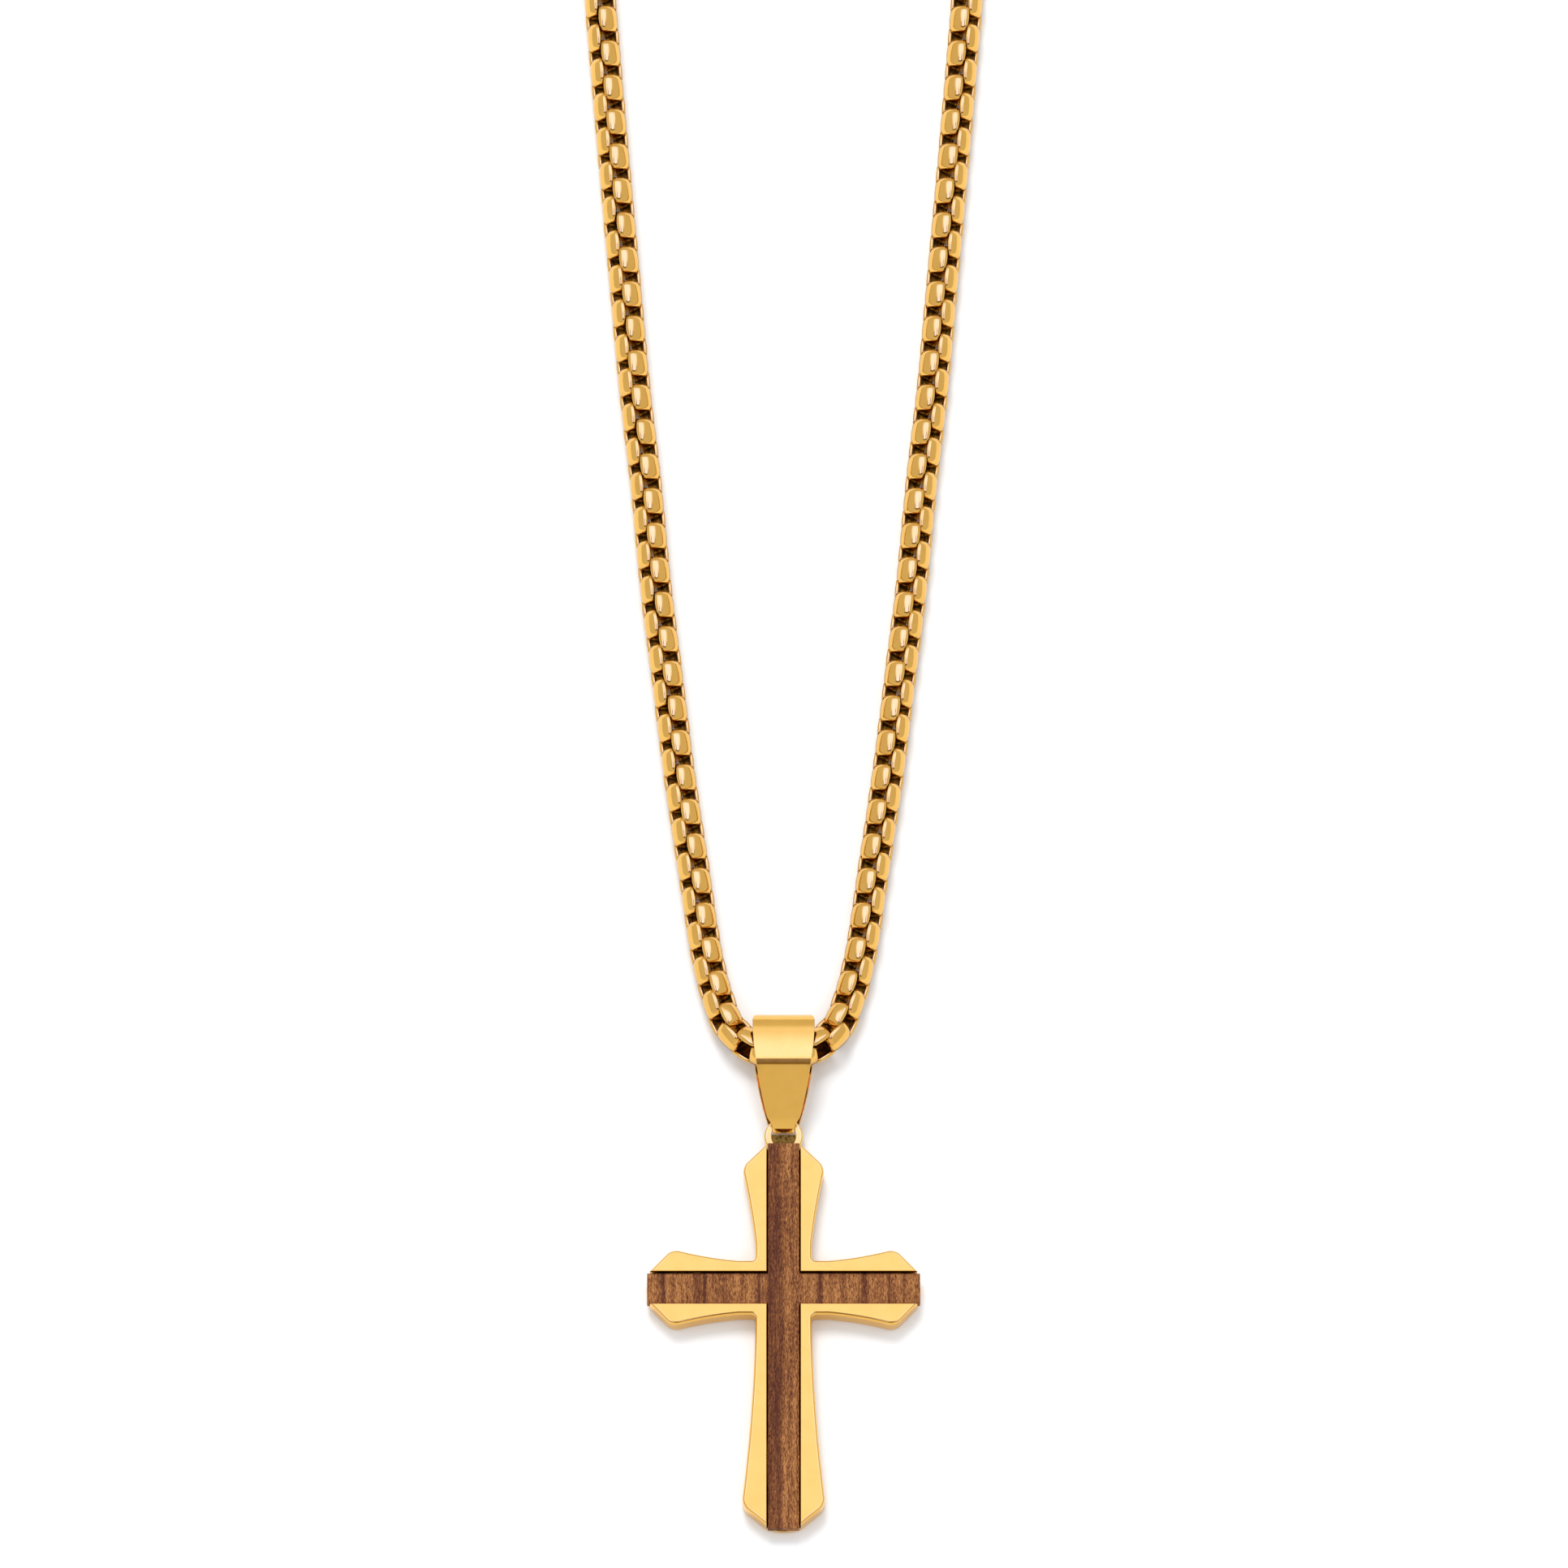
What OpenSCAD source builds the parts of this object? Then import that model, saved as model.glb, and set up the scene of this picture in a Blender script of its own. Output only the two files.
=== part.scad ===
// Cross pendant with a wood inlay, on a round box chain with a lobster clasp.
// It lies flat, face up: +X to the right, +Y towards the clasp, +Z out of the cross's face.
// The origin is where the two bars cross, on the back face.

/* [Cross] */
// Thickness of the cross
cross_t = 2.8; // [2.4:0.1:3.4]
// Half width of every bar beside the crossing
waist_hw = 3.45; // [3.2:0.05:3.6]
// Distance from the crossing to the end of each side arm
side_reach = 16.8; // [16:0.1:18]
// Distance from the crossing to the top end
top_reach = 18.75; // [18.5:0.05:18.9]
// Distance from the crossing to the bottom end
foot_reach = 30.8; // [29:0.1:33]

/* [Inlay] */
// Width of the channel
channel_w = 4.2; // [4:0.05:4.4]
// Thickness of metal under the channel
channel_floor = 1.05; // [0.9:0.05:1.3]
// Width of the wood bars
wood_w = 3.85; // [3.6:0.05:3.9]
// Thickness of the wood
wood_t = 1.1; // [0.8:0.05:1.3]
// Thickness of the glue under the wood
glue_t = 0.1; // [0.05:0.01:0.15]

/* [Lug] */
// Outer radius of the lug ring
lug_r = 2.4; // [2.3:0.05:2.5]
// Radius of its hole
lug_hole_r = 1.4; // [1.3:0.05:1.45]
// Thickness of the ring
lug_t = 0.8; // [0.7:0.05:0.8]

/* [Bail] */
// Thickness of the folded strap
strap_t = 0.65; // [0.6:0.01:0.68]
// Half width of the strap at the fold
bail_hw = 3.83; // [3.6:0.01:4]

/* [Chain] */
// Outer diameter of the chain
chain_d = 4.0; // [3.8:0.1:4.0]
// Length of one box link
link_len = 3.3; // [2.9:0.05:3.3]
// Wire thickness of the jump rings
ring_wire = 0.9; // [0.8:0.05:0.9]

/* [Clasp] */
// Thickness of the clasp body
clasp_t = 3.0; // [2.8:0.1:3.2]
// Thickness of the spring lever
lever_t = 1.0; // [0.8:0.05:1.0]

/* [Hidden] */

fine = 96;
smooth = 48;
past = 1;                              // how far a cutter runs past what it cuts

// Arm outlines: [start of the flank, tip corner, chamfer end, flank radius], all along the arm
top_arm = [[waist_hw, 5.5], [5.1, 15.5], [2.1, top_reach - 0.35], 90];
foot_arm = [[waist_hw, 4.5], [5.15, 27.9], [2.1, foot_reach - 0.35], 220];
side_arm = [[waist_hw, 5.5], [4.95, 13.7], [2.1, side_reach - 0.4], 45];
tip_r = 2.1;                           // rounding of the tip corners
corner_r = 0.5;                        // fillet between two arms

wood_bottom = channel_floor + glue_t;

// The bar of the lug that the bail hooks round
eye = [0, 21.65, 1.35];
lug_y = eye[1] - (lug_r + lug_hole_r) / 2;
window_hw = 1.45;                      // half width of the lug's window beside the bar
window_top = eye[1] - 0.45;            // the window's edge on the bar
lug_edge_r = 0.3;
web_t = 0.3;                           // thin web that closes the lug's hole below the hook
web_top = 20.05;

// The bail's side profile: circles [y, z, radius] that the strap runs round
nose = [31.72, 3.1, 3.1];
bend = [28.26, 5.15, 1.6];
tip = [eye[1], eye[2], eye[2]];
neck_hw = 1.38;                        // half width of the hook inside the lug's window
swing = 22;                            // how far the lug turns in the hook, each way
plan_r = 42;                           // radius of the bail's tapered sides
plan_y = 34;                           // where the bail is widest
neck_r = 2.75;
neck_y = tip[0] - tip[2] + neck_r - 0.02;

// The route of one strand, from inside the bail to the strand's far end
strand = [[0, 30, 3.1], [2, 30.2, 3.1], [4, 31, 2.95], [5.7, 32.5, 2.6], [7, 34.3, 2.3],
          [7.9, 36.8, 2.1], [8.8, 40, 2], [9.8, 45, 2], [11, 53.5, 2], [12.8, 66, 2],
          [14.3, 78.5, 2], [15.8, 91, 2], [17, 104, 2], [18.4, 116.5, 2], [19.5, 129, 2],
          [20.6, 141.5, 2], [21.7, 154.5, 2], [22.7, 167, 2], [23.5, 178, 2], [24.2, 190, 2],
          [24.7, 202, 2], [25, 214, 2], [25, 226, 2], [25, 238, 2], [25, 250, 2], [25, 262, 2],
          [25, 274, 2], [25, 286, 2], [24.8, 295, 2], [23.3, 302, 2.05], [19.8, 307.8, 2.2],
          [15.5, 311, 2.45], [11.6, 312, 2.6]];
tube_sides = 12;
link_wall = 0.45;                      // thickness of a link's band
link_w = 2.9;                          // width of a link's band

// Jump rings stand in the XZ plane, one through each end link
end = strand[len(strand) - 1];
ring_r = 2.15;                         // centre radius
ring_x = 8.1;                          // distance of their centres from the middle of the clasp

// The clasp joins them. Its own places are measured from clasp_c: the claw is at -X, the eye at +X
clasp_c = end + [-end[0], 0.5, 0];
head = [-4.95, 0];
head_r = 2.85;
hook_r = 1.65;
belly = [2.5, 0];
belly_r = 2.1;
tail = [5.85, -0.5];
tail_r = 1.6;
tail_hole_r = 0.85;
thin_t = 1.3;                          // thickness of the claw's nose and of the eye
slot_t = 1.5;                          // width of the slot that the lever moves in
pivot = [0.9, 0.8];
rivet_r = 0.4;
lever_gap = 0.05;                      // running clearance of the lever on its rivet
lever_low = -0.62;                     // underside of the lever in the slot
gate = [42, 125];                      // angles of the claw's mouth
nose_far = 6.7;                        // distance of the claw's nose from the lever's pivot
lever_far = 6.62;                      // distance of the lever's tip from its pivot
spring_wire = 0.24;

// Thickened outline of a rounded square, centred
module soft_square(w, h, r) {
    square([w - 2 * r, h], center = true);
    square([w, h - 2 * r], center = true);
    for (x = [-1, 1], y = [-1, 1])
        translate([x * (w / 2 - r), y * (h / 2 - r)]) circle(r, $fn = smooth);
}

// Centre of the circle of radius r through a and b, on the right of the way from a to b
function arc_centre(a, b, r) =
    let (d = b - a, half = norm(d) / 2, n = [d[1], -d[0]] / norm(d))
    (a + b) / 2 + n * sqrt(r * r - half * half);

// Points of the arc of radius r that rounds the corner b between a and c
function rounded(a, b, c, r, steps) =
    let (u = (a - b) / norm(a - b), v = (c - b) / norm(c - b), half = acos(u * v) / 2,
         o = b + (u + v) / norm(u + v) * r / sin(half),
         s = b + u * r / tan(half) - o, e = b + v * r / tan(half) - o)
    [for (k = [0:steps]) let (w = k / steps, m = s * (1 - w) + e * w) o + r * m / norm(m)];

function flipped(points) =
    [for (i = [len(points) - 1:-1:0]) [-points[i][0], points[i][1]]];

// One flared arm along +Y, with hollow flanks, chamfered corners and a bowed end
module arm_outline(arm, reach) {
    flank = arm[0];
    corner = arm[1];
    cut = arm[2];
    centre = arc_centre(flank, corner, arm[3]);
    bow_r = (cut[0] * cut[0] + (reach - cut[1]) * (reach - cut[1])) / 2 / (reach - cut[1]);
    difference() {
        union() {
            right = concat([[flank[0], -flank[0]], flank],
                           rounded(flank, corner, cut, tip_r, 6), [cut]);
            polygon(concat(right, flipped(right)));
            intersection() {
                translate([0, reach - bow_r]) circle(bow_r, $fn = fine);
                translate([-cut[0], cut[1] - past]) square([2 * cut[0], past + reach]);
            }
        }
        for (side = [0, 1]) mirror([side, 0]) intersection() {
            translate(centre) circle(arm[3], $fn = 360);
            translate([0, flank[1]]) square([2 * corner[0], corner[1] - flank[1]]);
        }
    }
}

module cross_outline() {
    arm_outline(top_arm, top_reach);
    rotate(180) arm_outline(foot_arm, foot_reach);
    for (turn = [-90, 90]) rotate(turn) arm_outline(side_arm, side_reach);
    for (x = [-1, 1], y = [-1, 1])
        translate([x * waist_hw, y * waist_hw]) corner_fillet(x, y);
}

module corner_fillet(x, y) {
    difference() {
        translate([x > 0 ? 0 : -corner_r, y > 0 ? 0 : -corner_r]) square(corner_r);
        translate([x * corner_r, y * corner_r]) circle(corner_r, $fn = smooth);
    }
}

module cross_bars(w, past_end) {
    translate([-w / 2, -foot_reach - past_end])
        square([w, foot_reach + top_reach + 2 * past_end]);
    translate([-side_reach - past_end, -w / 2]) square([2 * (side_reach + past_end), w]);
}

module cross_body() {
    color("#f0c466") difference() {
        linear_extrude(cross_t) cross_outline();
        translate([0, 0, channel_floor]) linear_extrude(cross_t) cross_bars(channel_w, past);
    }
}

module inlay_glue() {
    color("#6b5a3a") translate([0, 0, channel_floor])
        linear_extrude(glue_t) cross_bars(wood_w - 0.2, -0.6);
}

module wood_inlay() {
    color("#8c5430") translate([0, 0, wood_bottom]) linear_extrude(wood_t)
        cross_bars(wood_w, -0.05);
}

module lug_ring() {
    mid_r = (lug_r + lug_hole_r) / 2;
    color("#f6d98a") difference() {
        translate([0, lug_y, eye[2]]) {
            rotate_extrude($fn = fine)
                translate([mid_r, 0]) soft_square(lug_r - lug_hole_r, lug_t, lug_edge_r);
            translate([0, 0, 0.04 - lug_t / 2]) linear_extrude(web_t) intersection() {
                circle(mid_r, $fn = fine);
                translate([-lug_r, -lug_r]) square([2 * lug_r, lug_r + web_top - lug_y]);
            }
        }
        translate([-window_hw, web_top, 0])
            cube([2 * window_hw, window_top - web_top, cross_t]);
        translate([0, 0, -past]) linear_extrude(cross_t + 2 * past) {
            cross_outline();
            cross_bars(wood_w + 0.1, 0);
        }
    }
}

// Angle of the upward normal of the line that lies on circles a and b, b being further along Y
function belt_angle(a, b) =
    let (d = [b[0] - a[0], b[1] - a[1]]) atan2(d[1], d[0]) + acos((a[2] - b[2]) / norm(d));

function arc(c, from, to, inset, steps) =
    [for (k = [0:steps]) let (t = from + (to - from) * k / steps)
        [c[0], c[1]] + (c[2] - inset) * [cos(t), sin(t)]];

// The closed shape that a belt makes round the three circles, moved in by inset
module belt(inset) {
    leg = belt_angle(tip, bend);
    roof = belt_angle(bend, nose);
    polygon(concat(arc(tip, 270, leg, inset, 24), arc(bend, leg, roof, inset, 10),
                   arc(nose, roof, -90, inset, 28)));
}

module bail_plan() {
    intersection() {
        for_side(1);
        for_side(-1);
        union() {
            translate([0, neck_y]) circle(neck_r, $fn = fine);
            translate([-bail_hw - past, neck_y]) square([2 * (bail_hw + past), plan_y]);
        }
    }
}

module for_side(side) {
    translate([side * (bail_hw - plan_r), plan_y]) circle(plan_r, $fn = 360);
}

// The space beside the hook that the lug's sides sweep, in the side view
module lug_sweep() {
    rise = lug_t / 2 + 0.06;
    run = 2 * tip[2];
    half = [[0.6, rise], [0, rise], [-run, rise + run * tan(swing)]];
    translate([eye[1], eye[2]])
        polygon(concat(half, [for (i = [2:-1:0]) [half[i][0], -half[i][1]]]));
}

module bail() {
    color("#dda850") difference() {
        intersection() {
            rotate([90, 0, 90]) translate([0, 0, -bail_hw - past])
                linear_extrude(2 * (bail_hw + past)) difference() {
                    belt(0);
                    belt(strap_t);
                }
            translate([0, 0, -past]) linear_extrude(4 * cross_t) bail_plan();
        }
        translate(eye) rotate([0, 90, 0])
            cylinder(h = 2 * bail_hw, r = tip[2] - strap_t, center = true, $fn = smooth);
        for (side = [0, 1]) mirror([side, 0, 0]) rotate([90, 0, 90])
            translate([0, 0, neck_hw]) linear_extrude(bail_hw) lug_sweep();
    }
}

// Points of a ring of the tube at route point i, square to the route there
function heading(route, i) =
    let (a = route[max(0, i - 1)], b = route[min(len(route) - 1, i + 1)], d = b - a) d / norm(d);

function ring_points(route, i) =
    let (f = i == 0 ? [1, 0, 0] : i == len(route) - 1 ? [-1, 0, 0] : heading(route, i),
         s = cross(f, [0, 0, 1]) / norm(cross(f, [0, 0, 1])), u = cross(s, f))
    [for (k = [0:tube_sides - 1]) let (t = (k + 0.5) * 360 / tube_sides)
        route[i] + chain_d / 2 * (cos(t) * s + sin(t) * u)];

module tube(route) {
    rings = len(route);
    last = rings - 1;
    points = [for (i = [0:last]) each ring_points(route, i)];
    walls = [for (i = [0:last - 1], k = [0:tube_sides - 1])
        let (n = (k + 1) % tube_sides, a = i * tube_sides, b = a + tube_sides)
        each [[a + k, a + n, b + k], [a + n, b + n, b + k]]];
    polyhedron(points, concat(walls,
        [[for (k = [tube_sides - 1:-1:0]) k], [for (k = [0:tube_sides - 1]) last * tube_sides + k]]));
}

module chain_right_strand() {
    color("#e0ae4c") tube(strand);
}

module chain_left_strand() {
    color("#e0ae4c") mirror([1, 0, 0]) tube(strand);
}

// The last box link of a strand, cut from round stock, with its window along Z
module end_link() {
    color("#e0ae4c") translate([end[0] - link_len / 2, end[1], end[2]]) difference() {
        rotate([0, 90, 0]) cylinder(h = link_len, d = chain_d, center = true, $fn = fine);
        for (side = [-1, 1]) translate([0, 0, side * (link_w + chain_d) / 2])
            cube([link_len + past, chain_d + past, chain_d], center = true);
        cube([link_len - 2 * link_wall, chain_d - 2 * link_wall, chain_d + past], center = true);
    }
}

module right_end_link() {
    end_link();
}

module left_end_link() {
    mirror([1, 0, 0]) end_link();
}

module jump_ring(x) {
    color("#e6bc62") translate([x, end[1], end[2]]) rotate([90, 0, 0])
        rotate_extrude($fn = fine) translate([ring_r, 0]) circle(d = ring_wire, $fn = smooth);
}

module catch_ring() {
    jump_ring(-ring_x);
}

module clasp_ring() {
    jump_ring(ring_x);
}

module clasp_outline() {
    translate(head) circle(head_r, $fn = fine);
    translate(belly) circle(belly_r, $fn = fine);
    translate(tail) circle(tail_r, $fn = fine);
    polygon([head + [0, head_r], head - [0, head_r], belly - [0, belly_r], belly + [0, belly_r]]);
    polygon([belly - [0, belly_r], tail - [0, tail_r * 0.6], tail + [0, tail_r * 0.9],
             belly + [0, belly_r * 0.9]]);
}

// Thickness of the clasp along its length: thin at the nose and the eye, full in the middle
module clasp_side() {
    thin = thin_t / 2;
    full = clasp_t / 2;
    nose_x = head[0] - head_r;
    eye_x = tail[0] + tail_r;
    upper = [[nose_x - past, thin], [head[0] - hook_r, thin], [head[0] + 1, full], [belly[0], full],
             [tail[0] - tail_hole_r - 0.4, thin], [eye_x + past, thin]];
    polygon(concat(upper, [for (i = [len(upper) - 1:-1:0]) [upper[i][0], -upper[i][1]]]));
}

// The part of the head between the mouth's two angles, as far as the lever's tip reaches
module mouth() {
    reach = 2 * head_r;
    intersection() {
        translate(head) difference() {
            circle(head_r + past, $fn = fine);
            circle(hook_r - past / 2, $fn = fine);
        }
        translate(head) polygon([[0, 0], reach * [cos(gate[0]), sin(gate[0])], [0, reach],
                                 reach * [cos(gate[1]), sin(gate[1])]]);
        translate(pivot) circle(nose_far, $fn = fine);
    }
}

module clasp_body() {
    color("#e2b04e") translate(clasp_c) difference() {
        intersection() {
            translate([0, 0, -clasp_t / 2]) linear_extrude(clasp_t) clasp_outline();
            rotate([90, 0, 0]) translate([0, 0, -2 * head_r]) linear_extrude(4 * head_r)
                clasp_side();
        }
        translate([0, 0, -clasp_t]) linear_extrude(2 * clasp_t) {
            translate(head) circle(hook_r, $fn = fine);
            translate(tail) circle(tail_hole_r, $fn = smooth);
            mouth();
        }
        translate([head[0] + 1.2, -0.75, -slot_t / 2])
            cube([pivot[0] + 1.5 - head[0] - 1.2, 2 * head_r, slot_t]);
        translate(pivot) cylinder(h = 2 * clasp_t, r = rivet_r, center = true, $fn = smooth);
    }
}

module clasp_rivet() {
    color("#d8a445") translate(clasp_c) translate(pivot)
        cylinder(h = clasp_t, r = rivet_r, center = true, $fn = smooth);
}

module lever_outline() {
    slack = 0.06;                      // gap to the mouth's two faces
    difference() {
        union() {
            intersection() {
                translate(head) difference() {
                    circle(head_r, $fn = fine);
                    circle(hook_r, $fn = fine);
                }
                translate(head) polygon([[slack, 0], [2 * head_r, 0.5], [2 * head_r, 2 * head_r],
                                         [0, 2 * head_r],
                                         2 * head_r * [cos(gate[1]), sin(gate[1])]]);
                translate(pivot) circle(lever_far, $fn = fine);
            }
            polygon([head + head_r * [cos(62), sin(62)], head + [hook_r, 0.5],
                     pivot + [0, -0.85], pivot + [0.3, 0.8]]);
            translate(pivot) circle(0.85, $fn = smooth);
            translate([-1.1, 2.45]) circle(0.75, $fn = smooth);
        }
        translate(pivot) circle(rivet_r + lever_gap, $fn = smooth);
    }
}

module clasp_lever() {
    color("#ecc46a") translate(clasp_c + [0, 0, lever_low]) linear_extrude(lever_t)
        lever_outline();
}

// A torsion spring: one turn round the rivet, beside the lever, with two straight legs
module clasp_spring() {
    coil_r = rivet_r + lever_gap + spring_wire / 2;
    leg_d = 0.85 * spring_wire;
    color("#c9c9c4") translate(clasp_c + [0, 0, slot_t / 2 - spring_wire / 2 - 0.03])
        translate(pivot) {
            rotate_extrude($fn = smooth) translate([coil_r, 0]) circle(d = spring_wire, $fn = 24);
            for (side = [-1, 1]) translate([0.1, side * coil_r, 0]) rotate([0, -90, 0])
                cylinder(h = 2.7, d = leg_d, $fn = 24);
        }
}

cross_body();
lug_ring();
inlay_glue();
wood_inlay();
bail();
chain_left_strand();
chain_right_strand();
left_end_link();
right_end_link();
catch_ring();
clasp_ring();
clasp_body();
clasp_rivet();
clasp_spring();
clasp_lever();
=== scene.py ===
"""Cross pendant with a wood inlay, on a round box chain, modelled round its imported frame.

Sizes in the classes are in millimetres, in the frame's own axes: +X right, +Y towards the
clasp, +Z out of the cross's face. A finished mesh is scaled to metres once, by Piece.
"""

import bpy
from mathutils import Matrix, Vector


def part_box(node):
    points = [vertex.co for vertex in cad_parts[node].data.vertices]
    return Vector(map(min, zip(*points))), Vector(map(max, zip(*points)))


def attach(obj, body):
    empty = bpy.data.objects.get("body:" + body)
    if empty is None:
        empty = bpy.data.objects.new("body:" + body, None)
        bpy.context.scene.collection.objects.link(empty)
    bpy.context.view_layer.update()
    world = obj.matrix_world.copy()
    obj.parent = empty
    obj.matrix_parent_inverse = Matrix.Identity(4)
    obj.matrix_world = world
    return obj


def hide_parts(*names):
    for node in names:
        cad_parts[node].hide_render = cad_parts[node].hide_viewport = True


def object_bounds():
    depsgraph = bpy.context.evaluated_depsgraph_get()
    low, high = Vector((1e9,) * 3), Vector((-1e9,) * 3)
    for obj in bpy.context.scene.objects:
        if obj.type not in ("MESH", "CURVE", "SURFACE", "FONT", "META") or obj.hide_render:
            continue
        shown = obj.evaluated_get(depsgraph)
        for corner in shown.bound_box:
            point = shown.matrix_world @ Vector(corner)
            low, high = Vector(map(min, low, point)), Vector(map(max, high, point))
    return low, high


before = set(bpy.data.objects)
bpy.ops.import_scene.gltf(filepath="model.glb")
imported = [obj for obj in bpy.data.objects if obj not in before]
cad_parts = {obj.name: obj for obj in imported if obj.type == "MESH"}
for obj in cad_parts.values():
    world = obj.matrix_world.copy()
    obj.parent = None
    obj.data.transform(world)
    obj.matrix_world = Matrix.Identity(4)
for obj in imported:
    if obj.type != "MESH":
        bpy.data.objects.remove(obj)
CAD_BOX = [list(corner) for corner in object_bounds()]

import logging
import math
import random
from dataclasses import dataclass, field
from enum import Enum
from typing import Any, Iterable, Optional, Sequence, Union

import bmesh
import bpy
from bmesh.types import BMEdge, BMesh, BMFace, BMVert
from mathutils import Matrix, Vector

LOG = logging.getLogger("pendant")
MM = 0.001
NEAR = 1e-3
Colour = tuple[float, float, float]
Point = tuple[float, float, float]
Flat = tuple[float, float]


class Slot(Enum):
    """Material slots of the record."""

    PLATED = "plated_steel"
    CHAIN = "chain_steel"
    SPRING = "spring_steel"
    WOOD = "wood"
    GLUE = "glue"


class Side(Enum):
    """The two strands of the chain, by the sign of X on that side."""

    LEFT = -1
    RIGHT = 1


# ---------------------------------------------------------------- shader graphs


class Signal:
    """One shader socket that takes part in arithmetic."""

    def __init__(self, graph: "Graph", socket: bpy.types.NodeSocket) -> None:
        """Keep the graph that owns the socket, and the socket."""
        self.graph = graph
        self.socket = socket

    def __add__(self, other: "Value") -> "Signal":
        """Sum with a number or another signal."""
        return self.graph.math("ADD", self, other)

    def __radd__(self, other: "Value") -> "Signal":
        """Sum, the other way round."""
        return self.graph.math("ADD", other, self)

    def __sub__(self, other: "Value") -> "Signal":
        """Difference with a number or another signal."""
        return self.graph.math("SUBTRACT", self, other)

    def __rsub__(self, other: "Value") -> "Signal":
        """Difference, the other way round."""
        return self.graph.math("SUBTRACT", other, self)

    def __mul__(self, other: "Value") -> "Signal":
        """Product with a number or another signal."""
        return self.graph.math("MULTIPLY", self, other)

    def __rmul__(self, other: "Value") -> "Signal":
        """Product, the other way round."""
        return self.graph.math("MULTIPLY", other, self)

    def __abs__(self) -> "Signal":
        """Absolute value."""
        return self.graph.math("ABSOLUTE", self)


Value = Union[float, Signal]


class Graph:
    """A node tree that is built from Python expressions."""

    MIX_FACTOR, MIX_A, MIX_B, MIX_RESULT = 0, 6, 7, 2

    def __init__(self, tree: bpy.types.NodeTree) -> None:
        """Take over a tree and empty it.

        Args:
            tree: the material's or the world's node tree.
        """
        tree.nodes.clear()
        self.tree = tree

    def feed(self, socket: bpy.types.NodeSocket, value: Any) -> None:
        """Link a signal to a socket, or set a constant on it.

        Args:
            socket: the socket.
            value: a signal, or the constant.
        """
        if isinstance(value, Signal):
            self.tree.links.new(value.socket, socket)
        else:
            socket.default_value = value

    def node(self, kind: str, settings: Optional[dict[str, Any]] = None,
             inputs: Optional[dict[Union[str, int], Any]] = None) -> bpy.types.Node:
        """Add any node.

        Args:
            kind: the node's type name.
            settings: its properties; "stops" is a ramp's list of (position, colour).
            inputs: values or signals of its sockets, by name or index.

        Returns:
            The new node.
        """
        made = self.tree.nodes.new(kind)
        for key, value in (settings or {}).items():
            if key == "stops":
                ramp = made.color_ramp.elements
                while len(ramp) < len(value):
                    ramp.new(0.5)
                for element, (position, colour) in zip(ramp, value):
                    element.position = position
                    element.color = (*colour, 1.0)
            else:
                setattr(made, key, value)
        for key, value in (inputs or {}).items():
            self.feed(made.inputs[key], value)
        return made

    def math(self, operation: str, *values: Value) -> Signal:
        """Add a Math node that works on numbers and signals."""
        made = self.node("ShaderNodeMath", {"operation": operation}, dict(enumerate(values)))
        return Signal(self, made.outputs[0])

    def vector(self, operation: str, a: Signal, b: Point) -> Signal:
        """Add a Vector Math node that works on a signal and a constant."""
        made = self.node("ShaderNodeVectorMath", {"operation": operation}, {0: a, 1: b})
        return Signal(self, made.outputs[0])

    def place(self) -> Signal:
        """Object coordinates in millimetres.

        Returns:
            The coordinates.
        """
        made = self.node("ShaderNodeTexCoord")
        return self.vector("MULTIPLY", Signal(self, made.outputs["Object"]),
                           (1 / MM, 1 / MM, 1 / MM))

    def split(self, vector: Signal) -> tuple[Signal, Signal, Signal]:
        """The three components of a vector."""
        made = self.node("ShaderNodeSeparateXYZ", None, {0: vector})
        return tuple(Signal(self, out) for out in made.outputs)

    def noise(self, place: Signal, scale: float, detail: float = 2.0,
              rough: float = 0.5, stretch: Optional[Point] = None) -> Signal:
        """Noise from 0 to 1.

        Args:
            place: the coordinates it is read at.
            scale: features in a unit of them.
            detail: how many finer layers it has.
            rough: how strong the finer layers are.
            stretch: factors on the three axes; a small one draws the features out.

        Returns:
            The noise.
        """
        if stretch:
            place = self.vector("MULTIPLY", place, stretch)
        made = self.node("ShaderNodeTexNoise", None,
                         {"Vector": place, "Scale": scale, "Detail": detail,
                          "Roughness": rough})
        return Signal(self, made.outputs[0])

    def step(self, value: Signal, low: float, high: float, start: float = 0.0,
             end: float = 1.0) -> Signal:
        """A soft step.

        Args:
            value: what the step follows.
            low: value where it begins.
            high: value where it is over.
            start: level before it.
            end: level after it.

        Returns:
            The level.
        """
        made = self.node("ShaderNodeMapRange", {"interpolation_type": "SMOOTHSTEP"},
                         {0: value, 1: low, 2: high, 3: start, 4: end})
        return Signal(self, made.outputs[0])

    def mix(self, factor: Value, first: Any, second: Any) -> Signal:
        """Mix two colours, each a constant or a signal.

        Args:
            factor: share of the second colour.
            first: one colour.
            second: the other colour.

        Returns:
            The mixed colour.
        """
        first, second = ((*c, 1.0) if isinstance(c, tuple) else c for c in (first, second))
        made = self.node("ShaderNodeMix", {"data_type": "RGBA"},
                         {self.MIX_FACTOR: factor, self.MIX_A: first, self.MIX_B: second})
        return Signal(self, made.outputs[self.MIX_RESULT])

    def ramp(self, factor: Signal, stops: Sequence[tuple[float, Colour]]) -> Signal:
        """A colour ramp over a signal."""
        made = self.node("ShaderNodeValToRGB", {"stops": stops}, {0: factor})
        return Signal(self, made.outputs[0])

    def bump(self, height: Signal, strength: float, distance: float) -> Signal:
        """A normal from a height, whose full step is a distance in metres.

        Args:
            height: the height.
            strength: how much of it counts, from 0 to 1.
            distance: its full step.

        Returns:
            The normal.
        """
        made = self.node("ShaderNodeBump", None,
                         {"Strength": strength, "Distance": distance, "Height": height})
        return Signal(self, made.outputs[0])

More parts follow.
